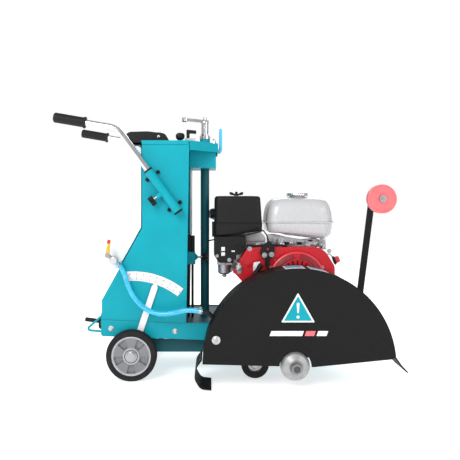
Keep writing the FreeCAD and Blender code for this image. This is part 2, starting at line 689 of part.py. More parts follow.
def recoil_cover():
    """Round starter cover with two rings of air slots."""
    low = SHROUD_FACES[0]
    face = low - 25
    section = [(low, 84.5), (low, 107), (low - 6, 107), (low - 20, 98), (face, 84), (face, 0),
               (face + 3, 0), (face + 3, 82), (low - 17, 94), (low - 8, 100), (low - 4, 84.5)]
    cover = turned("Y", CRANK, section)
    slots = []
    for i in range(24):
        angle = math.radians(15 * i)
        spoke = box(CRANK[0] + 52, CRANK[0] + 72, face - 1, face + 4, CRANK[1] - 2.5, CRANK[1] + 2.5)
        spoke.rotate(vec(CRANK[0], 0, CRANK[1]), AXES["Y"], math.degrees(angle))
        slots.append(spoke)
    return [cut_from(cover, *slots)]


def crankshaft():
    """Crankshaft stub, flywheel and drive pulley."""
    shaft = rod("Y", CRANK, 12.7, -145, PULLEY_FACES[1] + 3)
    wheel = turned("Y", CRANK, [(-136, 12.7), (-136, 90), (-108, 90), (-108, 12.7)])
    return [joined(shaft, wheel, pulley(CRANK, DRIVE_PULLEY_R, 12.7))]


def recoil_grip():
    """Pull handle of the starter."""
    way = vec(-0.6, -0.15, 0.785).normalize()
    centre = vec(111, -186, 388)
    across = vec(0.785, 0, 0.6)
    bar = rod_between(centre - across * 21, centre + across * 21, 8)
    stem = rod_between(centre - way * 12, centre, 5)
    return [joined(bar, stem)]


def engine_throttle():
    """Control lever on the shroud's face."""
    low, high = SHROUD_FACES[0] - 14, SHROUD_FACES[0] - CLEAR
    shape = [(134, 430), (168, 430), (176, 470), (158, 497), (132, 480), (122, 450)]
    plate = slab("XZ", shape, low, high, 8)
    arm = slab("XZ", [(140, 434), (160, 434), (152, 398), (140, 398)], low, high - 4, 4)
    return [joined(plate, arm).cut(rod("Y", THROTTLE_PIVOT, 4 + RUN_GAP, low - 1, high + 1))]


def ignition_switch():
    """Turning switch at the front of the shroud."""
    way = vec(0.94, 0, 0.34)
    start = vec(398.6, -121, 420)
    base = rod_between(start + way * 2, start + way * 8, 17)
    knob = rod_between(start + way * 8, start + way * 24, 12)
    return [joined(base, knob)]


def carburettor():
    """Carburettor body and float bowl."""
    centre = (-6, -64)
    body = box(-34, 22, -90, -40, 400, 470)
    bowl = turned("Z", centre, [(362, 0), (362, 17), (368, 24), (404, 25), (404, 0)])
    nut = rod("Z", centre, 7, 356, 363)
    flange = box(-30, 18, -41, -36, 404, 466)
    return [joined(body, bowl, nut, flange)]


def carb_cover():
    """Black housing in front of the carburettor."""
    shape = [(-46, 508), (73, 508), (73, 474), (24, 411), (-28, 411), (-46, 440)]
    shell = slab("XZ", shape, -128, -38, [2, 2, 8, 8, 12, 12])
    cavity = slab("XZ", [(-42, 504), (69, 504), (69, 475), (18, 405), (-30, 405), (-42, 438)], -124, -37, 2)
    return [shell.cut(cavity)]


def choke_lever():
    """Choke lever on the face of the carburettor housing."""
    hub = rod("Y", (46, 470), 7, -137, -128 - CLEAR)
    arm = slab("XZ", [(40, 466), (46, 478), (65, 463), (61, 455)], -137, -132, 3)
    return [joined(hub, arm)]


def air_cleaner():
    """Air cleaner housing with its snorkel."""
    lower = slab("XY", [(-50, -116), (134, -116), (134, 58), (-50, 58)], 508.2, 562, 16)
    upper = slab("XY", [(-45, -112), (130, -112), (130, 54), (-45, 54)], 562, 662, 20)
    stud = rod("Z", (42, -30), 4, 662, 680)
    wing = box(18, 66, -33, -27, 668, 678)
    snorkel = rod("X", (-60, 594), 18, -66, -40)
    inner = slab("XY", [(-45, -111), (129, -111), (129, 53), (-45, 53)], 512, 558, 12)
    inner_top = slab("XY", [(-40, -107), (125, -107), (125, 49), (-40, 49)], 557, 657, 16)
    return [cut_from(joined(lower, upper, stud, wing, snorkel), inner, inner_top)]


def fuel_tank():
    """Pressed-steel fuel tank: two domed halves and a seam flange."""
    def ring(inset, z, x0, x1, half):
        points = [(x0 + inset, -half + inset), (x1 - inset, -half + inset),
                  (x1 - inset, half - inset), (x0 + inset, half - inset)]
        return outline("XY", points, z, max(46 - inset * 0.4, 12))

    x0, x1, half, seam = 154.0, 408.0, 106.0, 561.0
    steps = 5

    def halves(wall):
        """Both halves as solid lofts, drawn in by a wall thickness."""
        upper = [ring(wall, seam - 2, x0, x1, half)]
        for i in range(1, steps + 1):
            rise = i / steps
            inset = 10 * rise + 44 * (1 - math.sqrt(1 - 0.98 * rise ** 4))
            upper.append(ring(inset + wall, seam + (98 - wall) * rise, x0, x1, half))
        lower = [ring(16 + wall, 499 + wall, x0, x1, half), ring(4 + wall, 512 + wall, x0, x1, half),
                 ring(wall, seam, x0, x1, half)]
        return joined(Part.makeLoft(upper, True, True), Part.makeLoft(lower, True, True))

    flange = slab("XY", [(x0 - 5, -half - 5), (x1 + 5, -half - 5), (x1 + 5, half + 5), (x0 - 5, half + 5)],
                  seam - 3, seam + 1, 50)
    neck = rod("Z", (281, -20), 26, 650, 664)
    return [joined(halves(0), flange, neck).cut(halves(2.5))]


def fuel_cap():
    """Screw cap of the fuel tank."""
    cap = turned("Z", (281, -20), [(664 + CLEAR, 0), (664 + CLEAR, 40), (672, 41), (676, 34), (676, 0)])
    skirt = turned("Z", (281, -20), [(662, 27), (662, 40), (665, 40), (665, 27)])
    return [joined(cap, skirt)]


def muffler():
    """Exhaust box with its outlet, behind the air cleaner."""
    shape = [(-66, 574), (-66, 613), (84, 613), (84, 474), (-34, 474), (-34, 562)]
    inner = [(-63, 576), (-63, 610), (81, 610), (81, 477), (-31, 477), (-31, 564)]
    body = slab("XZ", shape, 97, 168, [14, 18, 18, 18, 18, 10])
    body = body.cut(slab("XZ", inner, 100, 165, [12, 15, 15, 15, 15, 12]))
    pipe = rod("Y", (52, 486), 12, 90.2, 98)
    outlet = rod("Y", (50, 580), 14, 167, 186).cut(rod("Y", (50, 580), 12, 166, 187))
    bracket = box(96, 108, 97, 101, 440, 560)
    lug = box(80, 100, 97, 101, 500, 530)
    return [joined(body, pipe, outlet, bracket, lug)]


# ---------------------------------------------------------------- moving pieces
def crank_handle():
    """Depth screw with its hub and crank arm."""
    screw = rod("Z", SCREW, SCREW_R, 300, 888)
    collar = rod("Z", SCREW, 21, 886 + CLEAR, 898)
    hub = rod("Z", SCREW, 14, 890, 956)
    arm = slab("XZ", [(-66, 948), (-66, 960), (-160, 970), (-160, 958)], -10, 10, 2)
    knob = turned("Z", (-160, 0), [(954, 0), (954, 10), (958, 12), (970, 12), (973, 9), (973, 0)])
    bolt = rod("Z", SCREW, 7, 955, 973)
    return [joined(screw, collar, hub, arm, knob, bolt)]


def lift_nut():
    """Nut tube inside the post, with a slotted eye at its foot."""
    tube = rod("Z", SCREW, NUT_R, 129, 470)
    eye = slab("XZ", [(-104, 93), (-104, 124), (-92, 131), (-70, 131), (-64, 124), (-64, 93)], -9, 9,
               [13, 3, 3, 3, 3, 13])
    slot = slab("XZ", [(-99, 98.5), (-99, 115.5), (-70, 115.5), (-70, 98.5)], -10, 10, 8.3)
    hollow = rod("Z", SCREW, SCREW_R + RUN_GAP, 134, 471)
    return [cut_from(joined(tube, eye), slot, hollow)]


def bar_points(side):
    """Centre line of a handlebar, from the tip of its grip to its end inside the socket."""
    y = side * BAR_Y
    bend = socket_point(-187)
    inside = socket_point(SOCKET_LENGTH - 36)
    return [vec(GRIP_TIP[0], y, GRIP_TIP[1]), vec(bend[0], y, bend[1]), vec(inside[0], y, inside[1])]


def handlebar(side):
    points = bar_points(side)
    way = (points[1] - points[0]).normalize()
    centre_line = [points[0] + way * 4] + points[1:]
    return [bent_bar(centre_line, BAR_R, 62).cut(bent_bar(centre_line, BAR_R - 2.5, 62))]


def grip(side):
    """Rubber grip with a flange at its inner end and a closed tip."""
    points = bar_points(side)
    way = (points[1] - points[0]).normalize()
    body = rod_between(points[0], points[0] + way * GRIP_LENGTH, 18)
    flange = rod_between(points[0] + way * (GRIP_LENGTH - 6), points[0] + way * GRIP_LENGTH, 21)
    hollow = rod_between(points[0] + way * 4, points[0] + way * (GRIP_LENGTH + 1), BAR_R)
    return [joined(body, flange).cut(hollow)]


def star_head(start, way, radius, height, lobes):
    """Lobed clamp knob: a hub with round lobes."""
    side = way.cross(AXES["Y"]) if abs(way.dot(AXES["Y"])) < 0.9 else AXES["X"]
    side = side.normalize()
    other = way.cross(side)
    head = rod_between(start, start + way * height, radius * 0.62)
    for i in range(lobes):
        angle = 2 * math.pi * i / lobes
        offset = side * (radius * 0.58 * math.cos(angle)) + other * (radius * 0.58 * math.sin(angle))
        head = head.fuse(rod_between(start + offset, start + offset + way * height, radius * 0.42))
    return head


def handle_knob(side):
    y = side * BAR_Y
    tip, hub, out = socket_point(94, BAR_R + 1.0), socket_point(94, 44), socket_point(94, 62)
    way = (vec(out[0], y, out[1]) - vec(tip[0], y, tip[1])).normalize()
    stud = rod_between(vec(tip[0], y, tip[1]), vec(hub[0], y, hub[1]) + way * 2, 4)
    return [joined(stud, star_head(vec(hub[0], y, hub[1]), way, 20, 17, 3))]


def lock_knob():
    """Star knob that tightens the depth lock."""
    start = vec(LOCK[0] + 4, LOCK[1], 425)
    stud = rod_between(start, start + vec(42, 0, 0), 4)
    cone = Part.makeCone(8, 15, 14, start + vec(40, 0, 0), AXES["X"])
    return [joined(stud, cone, star_head(start + vec(53, 0, 0), AXES["X"], 20.5, 10, 5))]


def guide_bar():
    """Folding guide arm with the axle of its roller."""
    low, high = GUIDE_FACES
    reach = vec(GUIDE_WHEEL[0] - GUIDE_PIVOT[0], 0, GUIDE_WHEEL[1] - GUIDE_PIVOT[1])
    along = vec(reach.x, 0, reach.z).normalize()
    across = vec(along.z, 0, -along.x)
    corners = []
    for distance, half in ((-16, -11), (reach.Length + 14, -11), (reach.Length + 14, 11), (-16, 11)):
        point = vec(GUIDE_PIVOT[0], 0, GUIDE_PIVOT[1]) + along * distance + across * half
        corners.append((point.x, point.z))
    bar = slab("XZ", corners, low, high, 8)
    axle = rod("Y", GUIDE_WHEEL, 7, BLADE_PLANE_Y - 16, low + 1)
    head = rod("Y", GUIDE_WHEEL, 12, BLADE_PLANE_Y - 20, BLADE_PLANE_Y - 12 - CLEAR)
    shoulder = rod("Y", GUIDE_WHEEL, 11, BLADE_PLANE_Y + 12 + CLEAR, BLADE_PLANE_Y + 18)
    return [joined(bar, axle, head, shoulder).cut(rod("Y", GUIDE_PIVOT, 8 + RUN_GAP, low - 1, high + 1))]


def guide_roller():
    """Round guide wheel in the blade's plane."""
    low, high = BLADE_PLANE_Y - 12, BLADE_PLANE_Y + 12
    section = [(low, 7 + RUN_GAP), (low, 16), (low + 3, 20), (low + 3, 40), (low, 44), (low + 2, 49),
               (high - 2, 49), (high, 44), (high - 3, 40), (high - 3, 20), (high, 16), (high, 7 + RUN_GAP)]
    return [turned("Y", GUIDE_WHEEL, section)]


def arbor_shaft():
    """Blade shaft with its inner flange and pulley."""
    shaft = rod("Y", ARBOR, 15, -276, PULLEY_FACES[1] + 3)
    hub = rod("Y", ARBOR, 24, -277, -204)
    flange = rod("Y", ARBOR, 45, BLADE_PLANE_Y, -276)
    spigot = rod("Y", ARBOR, SPIGOT_R, BLADE_PLANE_Y - 4, BLADE_PLANE_Y + 1)
    return [joined(shaft, hub, flange, spigot, pulley(ARBOR, ARBOR_PULLEY_R, 15))]


def blade_flange():
    """Domed outer flange and the bolt that clamps the blade."""
    face = BLADE_PLANE_Y - 0.2
    section = [(face, 0), (face, 50), (face - 6, 50), (face - 16, 42), (face - 24, 26), (face - 28, 22),
               (face - 28, 0)]
    dome = turned("Y", ARBOR, section, [0, 0, 4, 8, 6, 2, 0])
    dome = dome.cut(rod("Y", ARBOR, SPIGOT_R + 0.1, BLADE_PLANE_Y - 4.2, BLADE_PLANE_Y + 1))
    corners = []
    for i in range(6):
        angle = math.radians(60 * i + 30)
        corners.append((ARBOR[0] + 19 * math.cos(angle), ARBOR[1] + 19 * math.sin(angle)))
    bolt = slab("XZ", corners, face - 46, face - 28)
    return [dome, bolt]


def hand_throttle():
    """Throttle lever on the top plate."""
    arm = slab("XZ", [(-152, 866), (-152, 918), (-114, 914), (-114, 902), (-140, 904), (-140, 866)],
               -52, -40, [2, 4, 3, 3, 4, 2])
    hub = rod("Y", (-146, 872), 9, -52, -40)
    return [joined(arm, hub).cut(rod("Y", (-146, 872), 4 + RUN_GAP, -60, -30))]


def throttle_bracket():
    """Fork and pin that carry the throttle lever."""
    ears = [box(-158, -118, y0, y0 + 3, TOP_PLATE_TOP, 884) for y0 in (-56, -39)]
    pin = rod("Y", (-146, 872), 4, -56, -36)
    return joined(*ears, pin)


LID_HINGE = (-209.0, 866.0)
LID_BARREL_HALF = 40.0


def lid_hinge():
    """Two ears on the top plate and the pin that the lid's barrel turns on."""
    x, z = LID_HINGE
    start = LID_BARREL_HALF + CLEAR
    ear = box(x - 5, x + 5, start, start + 3, TOP_PLATE_TOP, z + 5)
    pin = rod("Y", LID_HINGE, 2.5, -start - 3, start + 3)
    return joined(*both_sides(ear), pin)


def tank_lid():
    """Hinged lid over the tank's filler neck."""
    shape = [(-214, 865), (-232, 900), (-300, 908), (-368, 906), (-388, 893), (-384, 865)]
    shell = slab("XZ", shape, -75, 75, [4, 22, 60, 24, 8, 4])
    hollow = slab("XZ", [(-222, 860), (-238, 894), (-300, 903), (-364, 901), (-380, 890), (-378, 860)],
                  -70, 70, [0, 10, 40, 16, 4, 0])
    barrel = rod("Y", LID_HINGE, 4.8, -LID_BARREL_HALF, LID_BARREL_HALF)
    leaf = box(-222, LID_HINGE[0], -LID_BARREL_HALF, LID_BARREL_HALF, LID_HINGE[1] - 1, LID_HINGE[1] + 3)
    bore = rod("Y", LID_HINGE, 2.5 + RUN_GAP, -80, 80)
    return [joined(shell.cut(hollow), barrel, leaf).cut(bore)]


def brake_pedal():
    """Foot pedal on the rear plate."""
    oval = slab("XZ", [(-488, 150), (-488, 200), (-462, 200), (-462, 150)], -68, -42, 12.5)
    bar = rod_between(vec(-480, -55, 178), vec(-541, -55, 186), 8)
    return [joined(oval, bar).cut(rod("Y", (-472, 175), 4 + RUN_GAP, -80, -30))]


def pieces():
    """Every node of the machine, by name."""
    nodes = {
        "swing_frame": swing_frame(), "wheel_axles": wheel_axles(), "depth_pointer": depth_pointer(),
        "chassis": chassis(), "column": column(), "top_plate": top_plate(), "screw_post": screw_post(),
        "lock_slide": lock_slide(), "depth_lock": depth_lock(), "lifting_eye": lifting_eye(),
        "depth_scale": depth_scale(), "frame_fasteners": frame_fasteners() + [throttle_bracket(), lid_hinge()],
        "handle_sockets": handle_sockets(), "water_tank": water_tank(), "tank_valve": tank_valve(),
        "valve_lever": valve_lever(), "water_hose": water_hose(), "spray_nozzle": spray_nozzle(),
        "blade_guard": blade_guard(), "splash_flaps": splash_flaps(), "belt_guard": belt_guard(),
        "bearing_housings": bearing_housings(), "drive_belts": drive_belts(),
        "crankcase": crankcase(), "cylinder": cylinder(), "fan_shroud": fan_shroud(),
        "recoil_cover": recoil_cover(), "crankshaft": crankshaft(), "recoil_grip": recoil_grip(),
        "engine_throttle": engine_throttle(), "ignition_switch": ignition_switch(),
        "carburettor": carburettor(), "carb_cover": carb_cover(), "choke_lever": choke_lever(),
        "air_cleaner": air_cleaner(), "fuel_tank": fuel_tank(), "fuel_cap": fuel_cap(), "muffler": muffler(),
        "crank_handle": crank_handle(), "lift_nut": lift_nut(), "lock_knob": lock_knob(),
        "guide_bar": guide_bar(), "guide_roller": guide_roller(), "arbor_shaft": arbor_shaft(),
        "blade_flange": blade_flange(), "hand_throttle": hand_throttle(), "tank_lid": tank_lid(),
        "brake_pedal": brake_pedal(),
    }
    for name, side in (("right", -1), ("left", 1)):
        nodes["rear_tyre_" + name] = rear_tyre(side)
        nodes["rear_rim_" + name] = rear_rim(side)
        nodes["front_wheel_" + name] = front_wheel(side)
        nodes["handlebar_" + name] = handlebar(side)
        nodes["grip_" + name] = grip(side)
        nodes["handle_knob_" + name] = handle_knob(side)
    return nodes


def main():
    os.makedirs("parts", exist_ok=True)
    whole = FreeCAD.BoundBox()
    for name, solids in pieces().items():
        shape = Part.makeCompound([solid.translated(ORIGIN_SHIFT) for solid in solids])
        good = shape.isValid() and len(shape.Solids) == len(solids)
        if not good:
            print("CHECK", name, "valid", shape.isValid(), "solids", len(shape.Solids), "of", len(solids))
        whole.add(shape.BoundBox)
        shape.exportStep("parts/" + name + ".step")
    corners = (whole.XMin, whole.XMax, whole.YMin, whole.YMax, whole.ZMin, whole.ZMax)
    print("box", [round(value, 1) for value in corners])


main()
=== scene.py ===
import json
import math

import bmesh
import bpy
from mathutils import Matrix, Vector


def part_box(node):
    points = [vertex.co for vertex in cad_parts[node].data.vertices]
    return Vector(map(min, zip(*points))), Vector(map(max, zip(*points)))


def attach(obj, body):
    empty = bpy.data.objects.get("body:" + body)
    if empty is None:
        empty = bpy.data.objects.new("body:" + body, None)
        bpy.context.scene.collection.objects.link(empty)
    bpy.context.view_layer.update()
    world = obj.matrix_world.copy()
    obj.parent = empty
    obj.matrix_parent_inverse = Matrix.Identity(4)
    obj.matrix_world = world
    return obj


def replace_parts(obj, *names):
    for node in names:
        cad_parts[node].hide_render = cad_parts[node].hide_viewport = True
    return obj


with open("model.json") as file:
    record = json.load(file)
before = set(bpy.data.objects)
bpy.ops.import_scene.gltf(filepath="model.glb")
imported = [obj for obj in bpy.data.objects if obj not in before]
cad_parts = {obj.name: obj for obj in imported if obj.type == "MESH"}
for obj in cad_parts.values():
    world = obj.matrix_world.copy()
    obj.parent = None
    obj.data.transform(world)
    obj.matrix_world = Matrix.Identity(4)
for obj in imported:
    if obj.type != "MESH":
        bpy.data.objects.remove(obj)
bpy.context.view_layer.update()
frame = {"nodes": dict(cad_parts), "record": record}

MM = 0.001
X, Y, Z = Vector((1, 0, 0)), Vector((0, 1, 0)), Vector((0, 0, 1))
NODES = frame["nodes"]
MAIN = "main_frame"
SIDES = (("right", -1), ("left", 1))


# ---------------------------------------------------------------- places, from the frame
def low(node):
    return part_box(node)[0]


def high(node):
    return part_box(node)[1]


def middle(node):
    return (low(node) + high(node)) / 2


REAR_AXLE = middle("rear_tyre_right")
FRONT_AXLE = middle("front_wheel_right")
ARBOR = middle("blade_flange")
CRANK = middle("recoil_cover")
MID_Y = middle("swing_frame").y


def spot(x, y, z):
    """A point in mm: ahead of the rear axle, left of the centre plane, above the floor."""
    return Vector((REAR_AXLE.x + x * MM, MID_Y + y * MM, z * MM))


def heading(angle):
    """A unit vector in the XZ plane, at an angle in degrees from +X towards +Z."""
    return Vector((math.cos(math.radians(angle)), 0, math.sin(math.radians(angle))))


# ---------------------------------------------------------------- colours and materials
def srgb(*values):
    """Linear colour from 0-255 display values."""
    shares = [value / 255 for value in values]
    return tuple(s / 12.92 if s <= 0.04045 else ((s + 0.055) / 1.055) ** 2.4 for s in shares) + (1.0,)


class Finish:
    """A node material under construction, all in object coordinates."""

    def __init__(self, name):
        self.material = bpy.data.materials.new(name)
        self.material.use_nodes = True
        self.tree = self.material.node_tree
        self.shader = self.tree.nodes["Principled BSDF"]
        self.place = self.node("ShaderNodeTexCoord").outputs["Object"]

    def node(self, kind, inputs=None, **settings):
        made = self.tree.nodes.new(kind)
        for key, value in settings.items():
            setattr(made, key, value)
        for key, value in (inputs or {}).items():
            self.put(value, made.inputs[key])
        return made

    def put(self, value, socket):
        if isinstance(value, bpy.types.NodeSocket):
            self.tree.links.new(value, socket)
        else:
            socket.default_value = value

    def noise(self, scale, detail=3.0, stretch=(1, 1, 1)):
        place = self.node("ShaderNodeMapping", {"Vector": self.place, "Scale": stretch}).outputs[0]
        inputs = {"Vector": place, "Scale": scale, "Detail": detail}
        return self.node("ShaderNodeTexNoise", inputs).outputs[0]

    def spread(self, value, start, end, from_low=0.3, from_high=0.7):
        """The value moved from one range to another, kept within it."""
        inputs = {"Value": value, "From Min": from_low, "From Max": from_high, "To Min": start,
                  "To Max": end}
        return self.node("ShaderNodeMapRange", inputs).outputs[0]

    def math(self, operation, first, second):
        made = self.node("ShaderNodeMath", operation=operation)
        self.put(first, made.inputs[0])
        self.put(second, made.inputs[1])
        return made.outputs[0]

    def mixed(self, share, first, second):
        made = self.node("ShaderNodeMix", data_type="RGBA")
        self.put(share, made.inputs["Factor"])
        self.put(first, made.inputs["A"])
        self.put(second, made.inputs["B"])
        return made.outputs["Result"]

    def edges(self, radius):
        """Softened normal, and how near a point is to a convex or concave edge."""
        soft = self.node("ShaderNodeBevel", {"Radius": radius * MM}, samples=4).outputs[0]
        true = self.node("ShaderNodeNewGeometry").outputs["Normal"]
        turn = self.node("ShaderNodeVectorMath", operation="DOT_PRODUCT")
        self.put(soft, turn.inputs[0])
        self.put(true, turn.inputs[1])
        return soft, self.spread(turn.outputs["Value"], 1.0, 0.0, 0.8, 0.99)

    def bump(self, height, distance, normal=None):
        inputs = {"Height": height, "Distance": distance * MM, "Strength": 1.0}
        if normal is not None:
            inputs["Normal"] = normal
        return self.node("ShaderNodeBump", inputs).outputs[0]

    def set(self, **sockets):
        for key, value in sockets.items():
            self.put(value, self.shader.inputs[key.replace("_", " ")])
        return self.material


def surface(name, colour, rough, metal=0.0, mottle=0.05, mottle_scale=9.0, grain=(700, 0.02),
            stretch=(1, 1, 1), edge=0.8, worn=None, dust=None, shine=None, coat=None, glow=None,
            **sockets):
    """Uneven colour and roughness, fine grain, and softened edges.

    worn and dust are further colours, shine is the specular level, coat is a weight and a roughness, and
    glow is the weight and scale of the light that passes under the surface.
    """
    f = Finish(name)
    cloud = f.noise(mottle_scale, 4.0)
    shade = f.spread(cloud, 1 - mottle, 1 + mottle)
    tinted = f.node("ShaderNodeHueSaturation", {"Value": shade, "Color": colour}).outputs[0]
    normal, rim = f.edges(edge)
    if worn:
        chips = f.spread(f.noise(160, 5.0), 0.0, 1.0, 0.5, 0.62)
        tinted = f.mixed(f.math("MULTIPLY", f.math("MULTIPLY", rim, chips), 0.75), tinted, worn)
    if dust:
        veil = f.spread(f.noise(26, 6.0), 0.0, 0.35, 0.45, 0.8)
        tinted = f.mixed(veil, tinted, dust)
    fine = f.noise(grain[0], 2.0, stretch)
    rough_spread = f.spread(f.noise(60, 5.0, stretch), rough[0], rough[1])
    bumped = f.bump(fine, grain[1], normal)
    f.set(Base_Color=tinted, Roughness=rough_spread, Metallic=metal, Normal=bumped)
    if shine is not None:
        f.set(Specular_IOR_Level=shine)
    if coat:
        f.set(Coat_Weight=coat[0], Coat_Roughness=coat[1])
    if glow:
        f.set(Subsurface_Weight=glow[0], Subsurface_Scale=glow[1])
    return f.set(**sockets)


PRIMER = srgb(120, 205, 212)

FINISHES = {
    "teal_paint": ((0, 158, 174), (0.34, 0.5), dict(grain=(420, 0.03), edge=0.6, shine=0.22)),
    "dark_teal_paint": ((16, 84, 92), (0.34, 0.5), dict(grain=(420, 0.03), edge=0.6, shine=0.25)),
    "cyan_paint": ((60, 200, 238), (0.22, 0.36), dict(grain=(420, 0.03), worn=PRIMER, coat=(0.4, 0.12))),
    "white_paint": ((238, 238, 238), (0.35, 0.5), dict(mottle=0.03, grain=(500, 0.02))),
    "black_paint": ((19, 19, 20), (0.42, 0.58), dict(mottle=0.08, grain=(520, 0.05), edge=0.6,
                                                     shine=0.18)),
    "red_paint": ((196, 22, 38), (0.28, 0.42), dict(grain=(420, 0.025), shine=0.35)),
    "tank_paint": ((200, 201, 203), (0.2, 0.34), dict(mottle=0.02, grain=(380, 0.02), coat=(0.5, 0.08))),
    "chrome": ((222, 222, 224), (0.07, 0.2), dict(metal=1.0, mottle=0.03, grain=(900, 0.004), edge=0.4)),
    "steel": ((176, 177, 180), (0.26, 0.44), dict(metal=1.0, mottle=0.08, grain=(300, 0.012),
                                                  stretch=(1, 8, 1), edge=0.5)),
    "cast_iron": ((88, 89, 92), (0.5, 0.7), dict(metal=0.8, mottle=0.15, grain=(330, 0.16))),
    "aluminium": ((186, 187, 190), (0.34, 0.5), dict(metal=0.75, mottle=0.07, grain=(420, 0.09),
                                                     dust=srgb(120, 120, 120))),
    "black_plastic": ((17, 17, 18), (0.42, 0.58), dict(mottle=0.08, grain=(800, 0.05), shine=0.28)),
    "red_plastic": ((204, 40, 52), (0.26, 0.4), dict(grain=(500, 0.02), Coat_Weight=0.2)),
    "yellow_plastic": ((212, 176, 60), (0.4, 0.55), dict(grain=(500, 0.03))),
    "pink_plastic": ((238, 112, 116), (0.4, 0.55), dict(mottle=0.06, grain=(500, 0.04))),
    "tank_plastic": ((246, 246, 248), (0.34, 0.5), dict(mottle=0.015, grain=(60, 0.12), edge=4.0,
                                                        glow=(0.25, 0.02))),
    "hose_plastic": ((44, 186, 226), (0.16, 0.3), dict(mottle=0.14, mottle_scale=60, grain=(240, 0.06),
                                                       glow=(0.3, 0.006), coat=(0.6, 0.08))),
    "rubber": ((20, 20, 21), (0.55, 0.72), dict(mottle=0.12, grain=(600, 0.08), shine=0.25)),
    "grip_rubber": ((28, 28, 29), (0.5, 0.66), dict(mottle=0.1, grain=(700, 0.07), shine=0.3)),
    "tyre": ((28, 28, 29), (0.6, 0.8), dict(mottle=0.15, mottle_scale=30, grain=(420, 0.14),
                                            dust=srgb(52, 51, 50), shine=0.25)),
    # second finishes, for pieces that share a slot of the record
    "turned_steel": ((206, 206, 208), (0.34, 0.5), dict(metal=0.55, mottle=0.06, grain=(300, 0.02))),
    "flange_cast": ((168, 168, 168), (0.34, 0.52), dict(metal=0.6, mottle=0.16, mottle_scale=40,
                                                        grain=(260, 0.08))),
    # painted shade: a darker copy of the cast finish, for rim pockets and the flange's centre and flats
    "shaded_cast": ((136, 137, 139), (0.45, 0.6), dict(metal=0.5, mottle=0.12, grain=(420, 0.12))),
    # painted shade: a darker copy of red_paint, on the starter cover's louvred bands
    "red_painted_shade": ((118, 18, 28), (0.4, 0.55), dict(grain=(420, 0.03))),
    # painted highlight: a lighter copy of red_paint, on the starter cover's rings
    "red_painted_highlight": ((222, 60, 72), (0.3, 0.42), dict(grain=(420, 0.02))),
}
MATERIALS = {name: surface(name, srgb(*colour), rough, **options)
             for name, (colour, rough, options) in FINISHES.items()}

for part in frame["record"]["subparts"]:
    cad_mesh = NODES[part["node"]].data
    cad_mesh.materials.clear()
    cad_mesh.materials.append(MATERIALS[part["material_slot"]])


# ---------------------------------------------------------------- camera, light and floor
SENSOR = 36.0
LENS = 41.09
CAMERA_AT = spot(281.2, -2080, 619.9)
SHIFT_RIGHT = 0.0423
SHIFT_DOWN = 0.0507
FLOOR_HALF = 12.0
FLOOR_GLOW = 0.62
SKY_LIGHT = 0.5
SKY_SEEN = 1.0


def camera():
    """Level camera whose view is shifted sideways and down."""
    data = bpy.data.cameras.new("camera")
    data.lens = LENS
    data.sensor_width = SENSOR
    data.shift_x = SHIFT_RIGHT
    data.shift_y = -SHIFT_DOWN
    seen_from = bpy.data.objects.new("camera", data)
    seen_from.location = CAMERA_AT
    seen_from.rotation_euler = (math.radians(90), 0, 0)
    bpy.context.scene.collection.objects.link(seen_from)
    bpy.context.scene.camera = seen_from


def light(name, at, size, power):
    data = bpy.data.lights.new(name, "AREA")
    data.size = size
    data.energy = power
    lamp = bpy.data.objects.new(name, data)
    lamp.location = at
    lamp.rotation_euler = (middle("column") - Vector(at)).to_track_quat("-Z", "Y").to_euler()
    bpy.context.scene.collection.objects.link(lamp)


def studio():
    """White surroundings, three soft lamps and a pale floor."""
    world = bpy.data.worlds.new("studio")
    world.use_nodes = True
    bpy.context.scene.world = world
    tree = world.node_tree
    sky = tree.nodes["Background"]
    path = tree.nodes.new("ShaderNodeLightPath").outputs["Is Camera Ray"]
    strength = tree.nodes.new("ShaderNodeMapRange")
    strength.inputs["To Min"].default_value = SKY_LIGHT
    strength.inputs["To Max"].default_value = SKY_SEEN
    tree.links.new(path, strength.inputs["Value"])
    tree.links.new(strength.outputs[0], sky.inputs["Strength"])
    sky.inputs["Color"].default_value = (1.0, 1.0, 1.0, 1.0)
    bpy.context.scene.view_settings.view_transform = "Standard"
    light("key", (-1.4, -2.8, 2.4), 1.6, 66)
    light("fill", (2.2, -2.2, 1.4), 1.8, 22)
    light("back", (0.6, 2.6, 2.4), 2.0, 34)
    floor_mesh = bpy.data.meshes.new("floor")
    corners = [(-FLOOR_HALF, -FLOOR_HALF, 0), (FLOOR_HALF, -FLOOR_HALF, 0),
               (FLOOR_HALF, FLOOR_HALF, 0), (-FLOOR_HALF, FLOOR_HALF, 0)]
    floor_mesh.from_pydata(corners, [], [(0, 1, 2, 3)])
    floor = bpy.data.objects.new("floor", floor_mesh)
    floor_paint = surface("floor_paint", srgb(246, 246, 247), (0.8, 0.9), mottle=0.01, edge=0.1,
                          shine=0.1, Emission_Color=(1.0, 1.0, 1.0, 1.0), Emission_Strength=FLOOR_GLOW)
    floor_mesh.materials.append(floor_paint)
    bpy.context.scene.collection.objects.link(floor)


camera()
studio()


# ---------------------------------------------------------------- mesh building
def rounded(points, radii, steps=4):
    """Closed 2D outline with each corner turned into a short curve."""
    count = len(points)
    if not isinstance(radii, (list, tuple)):
        radii = [radii] * count
    result = []
    for i, corner in enumerate(points):
        corner = Vector(corner)
        back = Vector(points[i - 1]) - corner
        ahead = Vector(points[(i + 1) % count]) - corner
        reach = min(radii[i], back.length * 0.48, ahead.length * 0.48)
        if reach <= 0:
            result.append(corner)
            continue
        start, end = corner + back.normalized() * reach, corner + ahead.normalized() * reach
        for k in range(steps + 1):
            t = k / steps
            result.append(start * (1 - t) ** 2 + corner * (2 * t * (1 - t)) + end * t ** 2)
    return result


def round_rect(x0, x1, y0, y1, radius, steps=4):
    return rounded([(x0, y0), (x1, y0), (x1, y1), (x0, y1)], radius, steps)


def circle(radius, count, turn=0.0, rise=0.0):
    """Outline of a circle around (0, rise); turn is in degrees."""
    angles = [math.radians(turn) + 2 * math.pi * k / count for k in range(count)]
    return [(radius * math.cos(angle), rise + radius * math.sin(angle)) for angle in angles]


